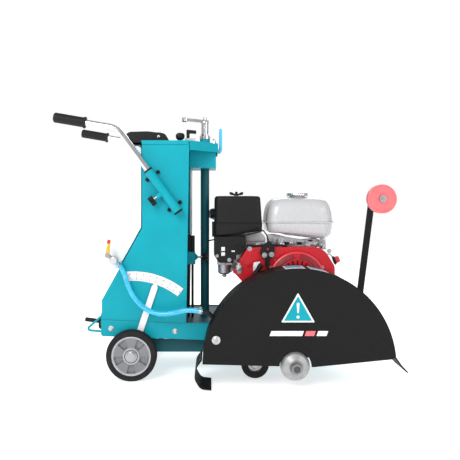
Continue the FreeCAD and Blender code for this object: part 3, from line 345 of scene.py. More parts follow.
def inset(points, distance):
    """Closed outline moved inwards by a distance."""
    area = sum(a.x * b.y - b.x * a.y for a, b in zip(points, points[1:] + points[:1]))
    side = 1 if area > 0 else -1
    moved = []
    for i, point in enumerate(points):
        before = (point - points[i - 1]).normalized()
        after = (points[(i + 1) % len(points)] - point).normalized()
        out = Vector((before.y + after.y, -before.x - after.x)) * side
        if out.length < 1e-6:
            moved.append(point)
            continue
        out.normalize()
        share = max(0.5, out.dot(Vector((before.y, -before.x)) * side))
        moved.append(point - out * (distance / share))
    return moved


class Shape:
    """A mesh under construction, in the row frame. Its measures are in mm, its places in metres."""

    def __init__(self):
        self.mesh = bmesh.new()

    def skin(self, rings, closed=False):
        """Faces between rings of points. A ring of one point is a tip."""
        rows = [[self.mesh.verts.new(point) for point in ring] for ring in rings]
        pairs = list(zip(rows, rows[1:]))
        if closed:
            pairs.append((rows[-1], rows[0]))
        for first, second in pairs:
            count = max(len(first), len(second))
            for k in range(count):
                n = (k + 1) % count
                if len(first) == 1:
                    self.mesh.faces.new((first[0], second[n], second[k]))
                elif len(second) == 1:
                    self.mesh.faces.new((first[k], first[n], second[0]))
                else:
                    self.mesh.faces.new((first[k], first[n], second[n], second[k]))
        if not closed:
            for row in (rows[0], rows[-1]):
                if len(row) > 2:
                    self.mesh.faces.new(row)
        return self

    def lathe(self, start, way, profile, sides=40, closed=False, wave=None):
        """Turned shape with (along, radius) points; wave is a number of lobes and their depth."""
        side = way.orthogonal().normalized()
        other = way.cross(side)
        lobes, depth = wave or (0, 0)
        rings = []
        for along, radius in profile:
            centre = start + way * (along * MM)
            if radius <= 0:
                rings.append([centre])
                continue
            ring = []
            for k in range(sides):
                angle = 2 * math.pi * k / sides
                reach = (radius + depth * math.cos(lobes * angle)) * MM
                ring.append(centre + (side * math.cos(angle) + other * math.sin(angle)) * reach)
            rings.append(ring)
        return self.skin(rings, closed)

    def prism(self, start, u, v, outline, depth, edge=0.6, steps=2):
        """Slab with rounded rims: an outline in the u, v plane, standing depth along u x v."""
        points = [Vector(point) for point in outline]
        w = u.cross(v) * (1 if depth > 0 else -1)
        depth = abs(depth)
        levels = []
        for k in range(steps + 1):
            angle = math.pi / 2 * k / steps
            levels.append((edge * (1 - math.sin(angle)), edge * (1 - math.cos(angle))))
        levels += [(inward, depth - rise) for inward, rise in reversed(levels)]
        rings = []
        for inward, rise in levels:
            drawn = inset(points, inward) if inward > 1e-6 else points
            rings.append([start + (u * p.x + v * p.y + w * rise) * MM for p in drawn])
        return self.skin(rings)

    def tube(self, points, radius, sides=10, closed=False, swell=None):
        """Round bar along points; swell gives each point's own radius."""
        rings = []
        side = None
        for i, point in enumerate(points):
            before = points[i - 1] if i or closed else point
            after = points[(i + 1) % len(points)] if closed or i + 1 < len(points) else point
            way = (after - before).normalized()
            side = way.orthogonal() if side is None else side - way * side.dot(way)
            side.normalize()
            other = way.cross(side)
            reach = (swell[i] if swell else radius) * MM
            angles = [2 * math.pi * k / sides for k in range(sides)]
            rings.append([point + (side * math.cos(a) + other * math.sin(a)) * reach for a in angles])
        return self.skin(rings, closed)

    def arc(self, centre, section, start, end, steps=24):
        """Section of (radius, Y offset) points swept about the Y axis, between two angles from +X."""
        rings = []
        for k in range(steps + 1):
            out = heading(start + (end - start) * k / steps)
            rings.append([centre + (out * radius + Y * across) * MM for radius, across in section])
        return self.skin(rings)

    def hex_bolt(self, at, way, size, height, washer=1.6):
        """Hexagon head with a turned chamfer, on a washer. size is the width across flats."""
        self.lathe(at, way, [(0, 0), (0, size * 0.95), (washer, size * 0.95), (washer, 0)], 28)
        corner = size / math.sqrt(3)
        top = washer + height
        shoulder = washer + height * 0.8
        head = [(washer, 0), (washer, corner), (shoulder, corner), (top, corner * 0.86), (top, 0)]
        return self.lathe(at, way, head, 6)

    def dome_bolt(self, at, way, radius, height):
        profile = [(0, 0), (0, radius), (height * 0.25, radius), (height * 0.7, radius * 0.82),
                   (height, radius * 0.42), (height, radius * 0.3), (height * 0.5, radius * 0.26),
                   (height * 0.5, 0)]
        return self.lathe(at, way, profile, 28)

    def bead(self, points, radius=2.2):
        """Weld bead with ripples along a line."""
        line = []
        for a, b in zip(points, points[1:]):
            count = max(2, round((b - a).length / (1.7 * MM)))
            line += [a.lerp(b, k / count) for k in range(count)]
        line.append(points[-1])
        ripples = [radius * (1 + 0.16 * math.sin(i * 1.6)) for i in range(len(line))]
        return self.tube(line, radius, 8, swell=ripples)

    def done(self, name, material, body=MAIN, sharp=38):
        """Turns the mesh into a piece that rides on a body; edges above the sharp angle stay hard."""
        bmesh.ops.recalc_face_normals(self.mesh, faces=self.mesh.faces)
        for face in self.mesh.faces:
            face.smooth = True
        for edge in self.mesh.edges:
            if len(edge.link_faces) == 2 and edge.calc_face_angle() > math.radians(sharp):
                edge.smooth = False
        data = bpy.data.meshes.new(name)
        self.mesh.to_mesh(data)
        self.mesh.free()
        data.materials.append(MATERIALS[material])
        made = bpy.data.objects.new(name, data)
        bpy.context.scene.collection.objects.link(made)
        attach(made, body)
        return made


def bolt_set(name, places, way, size, height, washer, material="steel", body=MAIN):
    """Equal hexagon bolts at several places, as one piece."""
    bolts = Shape()
    for place in places:
        bolts.hex_bolt(place, way, size, height, washer)
    return bolts.done(name, material, body)


def paint(node, material, test):
    """Gives the faces of a CAD node another material where the test of middle and normal passes."""
    data = NODES[node].data
    data.materials.append(MATERIALS[material])
    index = len(data.materials) - 1
    for face in data.polygons:
        if test(face.center, face.normal):
            face.material_index = index


def refinish(node, material):
    """Gives a whole CAD node another finish, in the slot it has."""
    NODES[node].data.materials[0] = MATERIALS[material]


def from_line(point, start, way):
    """Distance in mm of a point from a line."""
    return ((point - start) - way * (point - start).dot(way)).length / MM


# ---------------------------------------------------------------- wheels
def tyre(side):
    """Tyre with a grooved tread and a ridged side wall, on the CAD tyre's own size."""
    node = "rear_tyre_" + side
    width = (high(node).y - low(node).y) / MM
    radius = (high(node).z - low(node).z) / 2 / MM
    rim = radius - 20
    half = [(0.6, rim), (0, rim + 4), (0, rim + 7), (0.8, rim + 8), (0.8, rim + 9), (0, rim + 10),
            (0.8, rim + 14), (3, radius - 2.2), (6, radius)]
    groove_width, groove_depth, land = 2.2, 1.6, 6.2
    tread = []
    for k in range(3):
        start = 9 + k * (land + groove_width)
        tread += [(start, radius), (start + 0.3, radius - groove_depth),
                  (start + groove_width - 0.3, radius - groove_depth), (start + groove_width, radius)]
    profile = half + tread + [(width - along, reach) for along, reach in reversed(half)]
    start = Vector((REAR_AXLE.x, low(node).y, REAR_AXLE.z))
    turned = Shape().lathe(start, Y, profile, 96, closed=True)
    made = turned.done("tyre_" + side, "tyre", "rear_wheel_" + side)
    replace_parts(made, node)


def wheels():
    """Tyres, two-tone front wheels, rear rims with painted shade in pockets and grooves, and plugs."""
    hub_radius = 25.5
    for side, way in SIDES:
        tyre(side)
        paint("front_wheel_" + side, "aluminium",
              lambda point, normal: from_line(point, FRONT_AXLE, Y) < hub_radius)
        rim = "rear_rim_" + side
        outer = (low(rim) if side == "right" else high(rim)).y
        # painted shade: the floors of the rim's pockets get the darker cast finish
        paint(rim, "shaded_cast", lambda point, normal: (outer - point.y) * way > 3.6 * MM
              and 31 < from_line(point, REAR_AXLE, Y) < 62.5)
        face = Vector((REAR_AXLE.x, outer, REAR_AXLE.z))
        # painted shade: a thin dark ring laid where the hub's groove is
        section = [(-0.8, 21.4), (0.35, 21.4), (0.35, 24), (-0.8, 24)]
        groove = Shape().lathe(face, Y * way, section, 48, closed=True)
        groove.done("hub_groove_" + side, "rubber", "rear_wheel_" + side)
        plug = Shape().lathe(face - Y * (way * 5 * MM) + X * (55 * MM) - Z * (3 * MM), Y * way,
                             [(-6, 0), (-6, 3), (3, 3), (3, 2.2), (6, 2.2), (6, 0)], 16)
        plug.done("rim_plug_" + side, "steel", "rear_wheel_" + side)


# ---------------------------------------------------------------- handlebars
GRIP_LEAN = math.radians(9.7)
GRIP_R = 18.0
BAR_WAY = Vector((107, 0, -147)).normalized()
SOCKET_R = 16.5
SOCKET_LENGTH = 182.0


def socket_start(sign):
    """Centre of a handlebar socket's upper end, on the side of the sign."""
    return spot(59, 205 * sign, 749)


def grip(side):
    """Ringed rubber grip with a flange at its inner end."""
    node = "grip_" + side
    tip = Vector((low(node).x + GRIP_R * math.sin(GRIP_LEAN) * MM, middle(node).y,
                  high(node).z - GRIP_R * math.cos(GRIP_LEAN) * MM))
    way = Vector((math.cos(GRIP_LEAN), 0, -math.sin(GRIP_LEAN)))
    profile = [(0, 0), (0, 11), (0.8, 14.6), (2.6, 16.8), (5.5, 17.8), (9, GRIP_R)]
    for k in range(22):
        start = 12 + 4.2 * k
        profile += [(start, GRIP_R), (start + 0.5, 17.5), (start + 1.7, 17.5), (start + 2.2, GRIP_R)]
    profile += [(106.5, GRIP_R), (108, 19.6), (109.5, 20.8), (113.5, 21), (115, 20), (115, 11.6),
                (4.4, 11.6), (4.4, 0)]
    turned = Shape().lathe(tip, way, profile, 48)
    made = turned.done("grip_rubber_" + side, "grip_rubber", "handlebar_" + side)
    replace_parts(made, node)


def sockets():
    """Grips, and the collars, feet and bolts of the handlebar sockets."""
    foot_thick = 4
    away = Vector((-BAR_WAY.z, 0, BAR_WAY.x))
    bore = SOCKET_R + 0.1
    ring = [(-3.5, 11.8), (-3.5, 16.2), (-2.8, 17.1), (3, 17.1), (3, bore), (0, bore), (0, 11.8)]
    for side, sign in SIDES:
        grip(side)
        start = socket_start(sign)
        end = start + BAR_WAY * (SOCKET_LENGTH * MM)
        rings = Shape().lathe(start, BAR_WAY, ring, 40, closed=True)
        rings.lathe(end, -BAR_WAY, ring, 40, closed=True)
        rings.done("socket_rings_" + side, "black_plastic")
        face = start.copy()
        face.y = MID_Y + sign * 178.2 * MM
        bolts, feet = Shape(), Shape()
        for along in (22, 157):
            foot = face + BAR_WAY * (along * MM)
            u = away * sign
            feet.prism(foot, u, u.cross(Y * sign) * -1, round_rect(-30, 30, -9, 9, 7), foot_thick)
            for reach in (-23.5, 23.5):
                at = foot + away * (reach * MM) + Y * (sign * foot_thick * MM)
                bolts.hex_bolt(at, Y * sign, 8, 4.4, 1)
        feet.done("socket_feet_" + side, "teal_paint")
        bolts.done("socket_bolts_" + side, "black_plastic")
        stud_start = start + BAR_WAY * (94 * MM)
        paint("handle_knob_" + side, "steel",
              lambda point, normal: from_line(point, stud_start, away) < 4.4)


# ---------------------------------------------------------------- water
HOSE_DIAMETER = 0.018


def route_points():
    """Route of the water hose, from the valve's barb to the guard's nozzle."""
    route = [(-54, -200, 418), (-39, -201, 404), (-25, -203, 378), (-16, -206, 345), (0, -209, 309),
             (25, -213, 276), (59, -218, 251), (100, -223, 239), (142, -229, 243), (180, -236, 254),
             (218, -243, 259), (254, -249, 253)]
    return [spot(*point) for point in route]


def add_spline(data, points):
    """Smooth open spline that has the points as its control points."""
    data.dimensions = "3D"
    spline = data.splines.new("NURBS")
    spline.points.add(len(points) - 1)
    for point, place in zip(spline.points, points):
        point.co = (*place, 1.0)
    spline.order_u = 3
    spline.use_endpoint_u = True
    return spline


def nurbs(name, points, diameter, material):
    """Round cord along a smooth spline."""
    data = bpy.data.curves.new(name, "CURVE")
    data.bevel_depth = diameter / 2
    data.bevel_resolution = 5
    data.use_fill_caps = True
    add_spline(data, points).resolution_u = 8
    data.materials.append(MATERIALS[material])
    made = bpy.data.objects.new(name, data)
    bpy.context.scene.collection.objects.link(made)
    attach(made, MAIN)
    return made


def hose_clamp(name, at, way):
    """Worm-drive band with its screw housing."""
    band = [(-4.5, 9.3), (-4.5, 10.1), (4.5, 10.1), (4.5, 9.3)]
    clamp = Shape().lathe(at, way, band, 40, closed=True)
    out = (Z - way * Z.dot(way)).normalized()
    across = way.cross(out)
    housing = at + out * (9.6 * MM)
    clamp.prism(housing - way * (4 * MM), across, out, round_rect(-6, 6, 0, 6, 2), -8, 0.8)
    clamp.lathe(housing + out * (3 * MM) - across * (11 * MM), across,
                [(0, 0), (0, 3.4), (1.2, 3.6), (3.4, 3.6), (3.4, 2.2), (20, 2.2), (20, 0)], 6)
    return clamp.done(name, "steel")


def water():
    """Hose with its clamps, trim of the valve and its union, and the tank's moulded seam."""
    points = route_points()
    hose = nurbs("hose", points, HOSE_DIAMETER, "hose_plastic")
    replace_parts(hose, "water_hose")
    start_way = (points[1] - points[0]).normalized()
    end_way = (points[-1] - points[-2]).normalized()
    clamps = [hose_clamp("hose_clamp_valve", points[0] + start_way * (9 * MM), start_way),
              hose_clamp("hose_clamp_nozzle", points[-1] - end_way * (9 * MM), end_way)]
    lever_low, lever_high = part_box("valve_lever")
    tip = Vector((lever_high.x - 7.2 * MM, lever_low.y - 0.8 * MM, lever_high.z - 12 * MM))
    outline = rounded([(-7.6, 0), (3.6, -2), (7.4, 12), (-3, 14.6)], 4)
    sleeve = Shape().prism(tip, X, Z, outline, -4.6, 0.8)
    sleeve.done("valve_lever_tip", "red_plastic", "valve_lever")
    stem = Vector((lever_low.x + 8 * MM, lever_low.y, lever_low.z + 8 * MM))
    bolt_set("valve_nut", [stem], -Y, 9, 3.6, 0.8, body="valve_lever")
    union = spot(-66, -210, 428)
    ring = Shape().lathe(union, -Y, [(0, 0), (0, 13.2), (0.5, 12.6), (0.9, 9.6), (1.1, 5), (1.1, 0)], 36)
    ring.done("union_cap", "turned_steel")
    tank_low = low("water_tank")
    ends = [Vector((tank_low.x + 0.4 * MM, MID_Y, tank_low.z + z * MM)) for z in (34, 445)]
    seam = Shape().tube(ends, 1.4, 8)
    for k in range(4):
        at = Vector((tank_low.x - 0.2 * MM, MID_Y, tank_low.z + (110 + 90 * k) * MM))
        seam.prism(at - Y * (30 * MM), Y, Z, round_rect(0, 60, -1.6, 1.6, 1.4), -1.0, 0.4)
    seam.done("tank_seam", "tank_plastic")


# ---------------------------------------------------------------- depth scale
SCALE_START, SCALE_END = -4.2, 38.2
SCALE_OUTER, SCALE_INNER = 296.0, 262.0


def scale_marks():
    """Ticks and generic depth numbers on the arc scale."""
    face = low("depth_scale").y
    ticks = Shape()
    centre = Vector((REAR_AXLE.x, face, REAR_AXLE.z))
    step = 1.0
    count = int((SCALE_END - SCALE_START - 4) / step)
    for k in range(count + 1):
        long_tick = k % 5 == 0
        reach = 11 if long_tick else 6
        out = heading(90 - (SCALE_START + 2 + k * step))
        across = Vector((out.z, 0, -out.x))
        half = 0.55 if long_tick else 0.35
        start = centre + out * ((SCALE_INNER + 3) * MM)
        ticks.prism(start, across, out, round_rect(-half, half, 0, reach, 0), 0.25, 0.02, 1)
    ticks.done("scale_ticks", "black_plastic")
    numbers = Shape()
    upright = Matrix.Rotation(math.radians(90), 4, "X")
    for k in range(0, count + 1, 5):
        lean = SCALE_START + 2 + k * step
        text = bpy.data.curves.new("number", "FONT")
        text.body = str(k // 5 * 2)
        text.size = 10 * MM
        text.align_x = "CENTER"
        text.extrude = 0.12 * MM
        holder = bpy.data.objects.new("number", text)
        mesh = bpy.data.meshes.new_from_object(holder)
        at = centre + heading(90 - lean) * ((SCALE_OUTER - 14) * MM)
        mesh.transform(Matrix.Translation(at) @ Matrix.Rotation(math.radians(lean), 4, "Y") @ upright)
        numbers.mesh.from_mesh(mesh)
        bpy.data.objects.remove(holder)
        bpy.data.meshes.remove(mesh)
    numbers.done("scale_numbers", "black_plastic")
    screws = Shape()
    for lean in (SCALE_START + 0.9, SCALE_END - 0.9):
        at = centre + heading(90 - lean) * ((SCALE_OUTER + SCALE_INNER) / 2 * MM)
        screws.dome_bolt(at, -Y, 2.4, 1.6)
    screws.done("scale_screws", "steel")


# ---------------------------------------------------------------- blade guard
GUARD_R = 327.0


def guard_centre():
    return Vector((ARBOR.x + 13 * MM, low("blade_guard").y, ARBOR.z + 4 * MM))


def guard_marks():
    """Plain hazard triangle and plain stripes on the guard's face, and two plain labels on its rim."""
    face = low("blade_guard").y
    sign_at = Vector((ARBOR.x + 8 * MM, face, ARBOR.z + 150 * MM))
    thick = 0.35
    outer = [(-57, 0), (57, 0), (0, 100)]
    Shape().prism(sign_at, X, Z, rounded(outer, 5), thick, 0.1).done("sign_border", "white_paint")
    inner = [(-47.5, 5.5), (47.5, 5.5), (0, 89)]
    inside = sign_at - Y * (thick * MM)
    Shape().prism(inside, X, Z, rounded(inner, 3), thick, 0.1).done("sign_field", "teal_paint")
    mark = Shape()
    front = inside - Y * (thick * MM)
    bar = [(-2.4, 31), (2.4, 31), (4.8, 60), (4.0, 66), (-4.0, 66), (-4.8, 60)]
    mark.prism(front, X, Z, rounded(bar, 2), thick, 0.1)
    mark.prism(front, X, Z, circle(5.2, 24, rise=18), thick, 0.1)
    mark.done("sign_mark", "white_paint")
    stripe_at = Vector((ARBOR.x + 8 * MM, face, ARBOR.z + 104 * MM))
    lean, tall = 6, 17
    for name, material, spans in (("guard_stripes_white", "white_paint", ((-96, 14), (62, 96))),
                                  ("guard_stripe_red", "pink_plastic", ((22, 54),))):
        stripes = Shape()
        for x0, x1 in spans:
            outline = rounded([(x0, 0), (x1, 0), (x1 + lean, tall), (x0 + lean, tall)], 1.5)
            stripes.prism(stripe_at, X, Z, outline, thick, 0.1)
        stripes.done(name, material)
    centre = guard_centre()
    for name, material, spans, y0, y1, rise in (
            ("rim_labels", "white_paint", ((86, 98), (72, 83)), 8, 96, 0.35),
            ("rim_label_fields", "cyan_paint", ((87, 97), (73.2, 81.8)), 30, 92, 0.7)):
        labels = Shape()
        for start_angle, end_angle in spans:
            section = [(GUARD_R, y0), (GUARD_R + rise, y0), (GUARD_R + rise, y1), (GUARD_R, y1)]
            labels.arc(centre, section, start_angle, end_angle, 12)
        labels.done(name, material)


def guard_trim():
    """Hemmed rim, bolt centre and flap rivets of the blade guard."""
    centre = guard_centre()
    width = 116
    for name, across in (("guard_hem_outer", 0.4), ("guard_hem_inner", width - 0.4)):
        section = [(GUARD_R - 0.6 + 0.9 * x, across + 1.5 * y) for x, y in circle(1.0, 8)]
        Shape().arc(centre, section, 5.5, 178.6, 96).done(name, "black_paint")
    at = spot(300, 0, 170)
    at.y = low("frame_fasteners").y - 0.2 * MM
    profile = [(0, 0), (0, 5.6), (0.6, 5.2), (0.6, 3.2), (0.1, 3.0), (0.1, 0)]
    Shape().lathe(at, -Y, profile, 24).done("guard_bolt_centre", "steel")
    rivets = Shape()
    for start, way in ((spot(249, -311, 98), -X), (spot(910, -311, 102), X)):
        for k in range(4):
            rivets.dome_bolt(start + Y * ((14 + 29 * k) * MM) + way * (2 * MM), way, 5, 3)
    rivets.done("flap_rivets", "steel")


# ---------------------------------------------------------------- engine
def engine(x, y, z):
    """A point in mm from the crankshaft in X and Z, and from the centre plane in Y."""
    return Vector((CRANK.x + x * MM, MID_Y + y * MM, CRANK.z + z * MM))


def by_crank(x, face, z):
    """A point in mm from the crankshaft in X and Z, on a face at a given Y."""
    return Vector((CRANK.x + x * MM, face, CRANK.z + z * MM))


def fuel_tank():
    """Two pressed halves with a seam flange; the lower half is cut away at the rear."""
    tank_low, tank_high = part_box("fuel_tank")
    centre = Vector(((tank_low.x + tank_high.x) / 2, (tank_low.y + tank_high.y) / 2, 0))
    half_x = (tank_high.x - tank_low.x) / 2 / MM - 5
    half_y = (tank_high.y - tank_low.y) / 2 / MM - 5
    seam = tank_low.z + 62 * MM
    top = 98.0
    bottom = -62.0

    def ring(rise, inward, corner):
        x, y = half_x - inward, half_y - inward
        outline = round_rect(-x, x, -y, y, corner, 7)
        points = []
        for p in outline:
            lift = 0.0
            if rise < 0:
                share = min(1.0, max(0.0, (-p.x - 20) / 60))
                lift = 20 * share * share * (3 - 2 * share) * (rise / bottom) ** 2
            points.append(centre + Vector((p.x, p.y, rise + lift)) * MM + Z * seam)
        return points

    levels = ((bottom, 44, 30), (bottom + 1, 26, 36), (bottom + 5, 14, 42), (bottom + 12, 7, 46),
              (bottom + 24, 3.4, 48), (-8, 0.6, 50), (0, 0, 50))
    rings = [ring(*level) for level in levels]
    steps = 16
    for k in range(1, steps + 1):
        t = k / steps
        inward = 9 * t + 44 * (1 - math.sqrt(1 - 0.985 * t ** 4))
        rings.append(ring(top * 0.955 * t, inward, 50 - inward * 0.3))
    for inward, rise in ((58, 0.97), (70, 0.985), (84, 0.995), (96, 1.0)):
        rings.append(ring(top * rise, inward, 10))
    body = Shape().skin(rings)
    flange = round_rect(-half_x - 5, half_x + 5, -half_y - 5, half_y + 5, 54, 8)
    body.prism(centre + Z * (seam - 2.2 * MM), X, Y, flange, 4.4, 1.6)
    neck = middle("fuel_cap")
    neck.z = seam + 90 * MM
    body.lathe(neck, Z, [(0, 0), (0, 31), (9, 29), (12, 27), (12, 0)], 48)
    made = body.done("fuel_tank_shell", "tank_paint", sharp=30)
    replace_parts(made, "fuel_tank")
    cap_low, cap_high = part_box("fuel_cap")
    start = Vector((middle("fuel_cap").x, middle("fuel_cap").y, cap_low.z))
    height = (cap_high.z - cap_low.z) / MM
    profile = [(0, 27.5), (0, 39), (1.2, 40), (height - 5, 40), (height - 3, 38.4), (height - 1.2, 35),
               (height - 1.2, 24), (height, 22), (height, 0)]
    cap = Shape().lathe(start, Z, [(3, 0), (3, 27)] + profile, 112, wave=(28, 0.7))
    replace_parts(cap.done("fuel_cap_ribbed", "chrome", "fuel_cap"), "fuel_cap")


def air_cleaner():
    """Two-part case with a seam lip, clips, snorkel and wing nut."""
    case_low, case_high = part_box("air_cleaner")
    y0, y1 = (case_low.y - MID_Y) / MM, (case_high.y - MID_Y) / MM
    x0, x1 = -303.0, -120.0
    base = 155.2
    seam = base + 52
    top = base + 152
    origin = engine(0, 0, 0)

    def ring(z, inward, corner):
        """A level of the case; its underside rises at the front and its front face leans back."""
        outline = round_rect(x0 + inward, x1 - inward, y0 + inward, y1 - inward, corner, 6)
        points = []
        for p in outline:
            share = min(1.0, max(0.0, (p.x + 213) / 24))
            lift = (20 * share * share * (3 - 2 * share)) * max(0.0, 1 - (z - base) / 30)
            back = 5 * max(0.0, z - seam) / 100 * min(1.0, max(0.0, (p.x + 213) / 60))
            points.append(origin + Vector((p.x - back, p.y, z + lift)) * MM)
        return points

    levels = [(base, 6, 14), (base + 1.2, 3, 16), (base + 5, 1.4, 18), (seam - 5, 0.6, 18),
              (seam - 4, -0.4, 18), (seam - 1.2, -0.4, 18), (seam - 0.5, 0.4, 18),
              (seam + 0.3, 1.8, 20), (seam + 2, 1.4, 20), (top - 20, 2.6, 22)]
    for k in range(1, 7):
        angle = math.pi / 2 * k / 6
        levels.append((top - 10 + 10 * math.sin(angle), 2.8 + 10 * (1 - math.cos(angle)), 22))
    levels += [(top + 0.8, 30, 14), (top + 1.2, 60, 8)]
    case = Shape().skin([ring(*level) for level in levels])
    for y in (-80, 20):
        case.prism(engine(x0 - 7, y, base - 2), Y, Z, round_rect(-16, 16, 0, 54, 3), 9, 1)
    snorkel = engine(x0 + 8, -60, 241)
    profile = [(0, 0), (0, 18)]
    for k in range(3):
        profile += [(4 + 5 * k, 18), (5 + 5 * k, 16.6), (7 + 5 * k, 16.6), (8 + 5 * k, 18)]
    profile += [(19.5, 18), (21, 17), (21, 13), (8, 12), (8, 0)]
    case.lathe(snorkel, -X, profile, 36)
    made = case.done("air_cleaner_case", "black_plastic", sharp=32)
    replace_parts(made, "air_cleaner")
    nut = Shape()
    boss = engine(-215, -30, top)
    nut.lathe(boss, Z, [(0, 0), (0, 12), (1.6, 12), (2.4, 8), (9, 7), (11, 5), (18, 5), (18, 0)], 28)
    wing = rounded([(5, 3), (26, 6), (28, 16), (20, 17.4), (6, 10)], 5)
    for sign in (-1, 1):
        outline = [Vector((sign * p.x, p.y)) for p in wing]
        nut.prism(boss + Y * (2 * MM), X, Z, outline, 4, 1.2)
    nut.done("wing_nut", "black_plastic")


def recoil():
    """Louvred bands, rings, hub and bolts of the starter cover, and its pull grip."""
    centre = by_crank(0, low("recoil_cover").y, 0)
    band = [(75, -0.5), (83.6, -0.5), (84.6, 0.2), (97, 4.6), (96.4, 5.6), (84, 1.0), (75, 0.4)]
    rib = [(76, -0.9), (84, -0.9), (97.4, 3.9), (96.4, 5.6), (84, 1.0), (76, 0.4)]
    panels, ribs = Shape(), Shape()
    for start in (14, 97, 194, 274):
        panels.arc(centre, band, start, start + 70, 28)
        for k in range(24):
            angle = start + 1 + k * 2.9
            ribs.arc(centre, rib, angle, angle + 0.9, 2)
    # painted shade: the louvred bands get a darker copy of the red paint
    panels.done("recoil_mesh", "red_painted_shade")
    ribs.done("recoil_ribs", "red_paint")
    # painted highlight: the rings get a lighter copy of the red paint
    rings = (("recoil_ring_outer", 99.4, 5.2, 2.6), ("recoil_ring_inner", 74.6, -0.4, 1.6))
    for name, radius, rise, thick in rings:
        ring = [(radius - thick, rise + 1.4), (radius - thick, rise - 1.0), (radius + thick, rise + 1.4),
                (radius + thick, rise + 3.4)]
        Shape().arc(centre, ring, 0, 359.9, 120).done(name, "red_painted_highlight")
    profile = [(-0.3, 0), (-0.3, 44), (1.4, 43), (2.2, 40), (2.2, 26), (1.0, 24), (1.0, 0)]
    Shape().lathe(centre, -Y, profile, 64).done("recoil_hub", "red_paint")
    inside = Shape().lathe(centre + Y * (3.2 * MM), Y, [(0, 0), (0, 78), (1.5, 78), (1.5, 0)], 48)
    inside.done("recoil_inside", "black_plastic")
    rim = by_crank(0, high("recoil_cover").y - 6 * MM, 0)
    places = [rim + heading(angle) * (101.5 * MM) for angle in (25, 155, 270)]
    bolt_set("recoil_bolts", places, -Y, 9, 4.5, 1)
    pull_way = Vector((0.53, 0, 0.85)).normalized()
    start = engine(-147, -186, 35) - pull_way * (29 * MM)
    profile = [(0, 0), (0, 6), (1.4, 8.4), (5, 10), (14, 9.2), (29, 8.4), (44, 9.4), (53, 10),
               (56.6, 8.4), (58, 6), (58, 0)]
    grip_body = Shape().lathe(start, pull_way, profile, 36)
    made = grip_body.done("recoil_grip_body", "black_plastic", "recoil_grip")
    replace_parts(made, "recoil_grip")
    outline = rounded([(-8, 0), (18, 24), (18, 38), (-6, 34)], 4)
    plate = Shape().prism(engine(-152, -151.6, 28), X, Z, outline, 2.4, 0.6)
    plate.done("recoil_rope_plate", "white_paint")


def shroud_trim():
    """Fasteners, raised panel and control screws on the fan housing."""
    panel_at = by_crank(0, low("recoil_cover").y + 25 * MM, 0)
    outline = rounded([(-180, 40), (-112, 84), (-124, 106), (-168, 108), (-196, 62)], 9)
    Shape().prism(panel_at, X, Z, outline, 1.6, 1.2).done("shroud_panel", "red_paint")
    for name, face, size, height, washer, body, places in (
            ("shroud_bolts", panel_at.y, 9, 4.6, 1, MAIN,
             ((-210, 28), (-172, 112), (120, 104), (132, -80), (-96, -108), (60, -112))),
            ("control_screws", low("engine_throttle").y, 10, 4, 1, "engine_throttle",
             ((-119, 90), (-93, 92))),
            ("control_bracket_bolts", panel_at.y - MM, 9, 6, 1.4, MAIN, ((-74, 67), (-88, 44)))):
        bolt_set(name, [by_crank(x, face, z) for x, z in places], -Y, size, height, washer, body=body)


def ignition():
    """Turning knob with a ribbed rim on its black collar."""
    way = Vector((0.94, 0, 0.34)).normalized()
    centre = middle("ignition_switch")
    start = centre - way * (11 * MM)
    collar = Shape().lathe(start, way, [(0, 0), (0, 15), (1, 16.6), (5, 16.6), (6, 15.4), (6, 0)], 40)
    made = collar.done("ignition_collar", "black_plastic", "ignition_switch")
    profile = [(0, 0), (0, 12), (1, 12.4), (12, 11.6), (15, 10.4), (16, 8), (16, 0)]
    knob = Shape().lathe(start + way * (6 * MM), way, profile, 64, wave=(8, 0.7))
    knob.done("ignition_knob", "red_plastic", "ignition_switch")
    upward = (Z - way * Z.dot(way)).normalized()
    outline = round_rect(-2.4, 2.4, -10.5, 10.5, 2)
    bar = Shape().prism(start + way * (20 * MM), Y, upward, outline, 3.4, 0.8)
    bar.done("ignition_bar", "red_plastic", "ignition_switch")
    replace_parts(made, "ignition_switch")


def carburettor():
    """Bowl trim, fuel tap, and the marks and bolts on the carburettor's housing."""
    face = low("carb_cover").y
    marks = Shape()
    for x0, x1, z0, z1 in ((-276, -262, 102, 117), (-276, -262, 84, 97), (-238, -225, 99, 104)):
        marks.prism(by_crank(0, face, 0), X, Z, round_rect(x0, x1, z0, z1, 1), 0.3, 0.1)
    marks.done("housing_marks", "white_paint")
    dial = Shape()
    for k in range(4):
        outline = round_rect(-220, -205, 72 + 4.4 * k, 74.2 + 4.4 * k, 0.8)
        dial.prism(by_crank(0, face, 0), X, Z, outline, 0.3, 0.1)
    dial.done("housing_dial", "steel")
    bolts = Shape()
    bolts.hex_bolt(by_crank(-291, face, 84), -Y, 6, 3, 1)
    bolts.hex_bolt(by_crank(-246, face, 69), -Y, 8, 5, 1)
    bolts.done("housing_bolts", "steel")
    bowl = Shape()
    at = engine(-263, -64, 0)
    bowl.lathe(at + Z * (50 * MM), Z, [(0, 0), (0, 26.4), (3, 27.2), (5, 26.4), (5, 0)], 40)
    for angle in (40, 140, 220, 320):
        out = Vector((math.cos(math.radians(angle)), math.sin(math.radians(angle)), 0))
        bowl.hex_bolt(at + out * (24 * MM) + Z * (49 * MM), -Z, 6, 3, 0.6)
    bowl.hex_bolt(at + Z * (3 * MM), -Z, 11, 5, 1)
    bowl.done("carburettor_bowl_trim", "aluminium")
    tap_at = engine(-213, -163, 34)
    profile = [(0, 0), (0, 6), (2, 10.5), (4, 11.5), (18, 11.5), (20, 10), (22, 7), (27, 6), (27, 0)]
    tap = Shape().lathe(tap_at, Z, profile, 32)
    tap.tube([tap_at + Vector(step) * MM for step in ((0, 0, 22), (-8, 22, 30), (-14, 40, 34))], 4, 12)
    tap.done("fuel_tap", "aluminium")


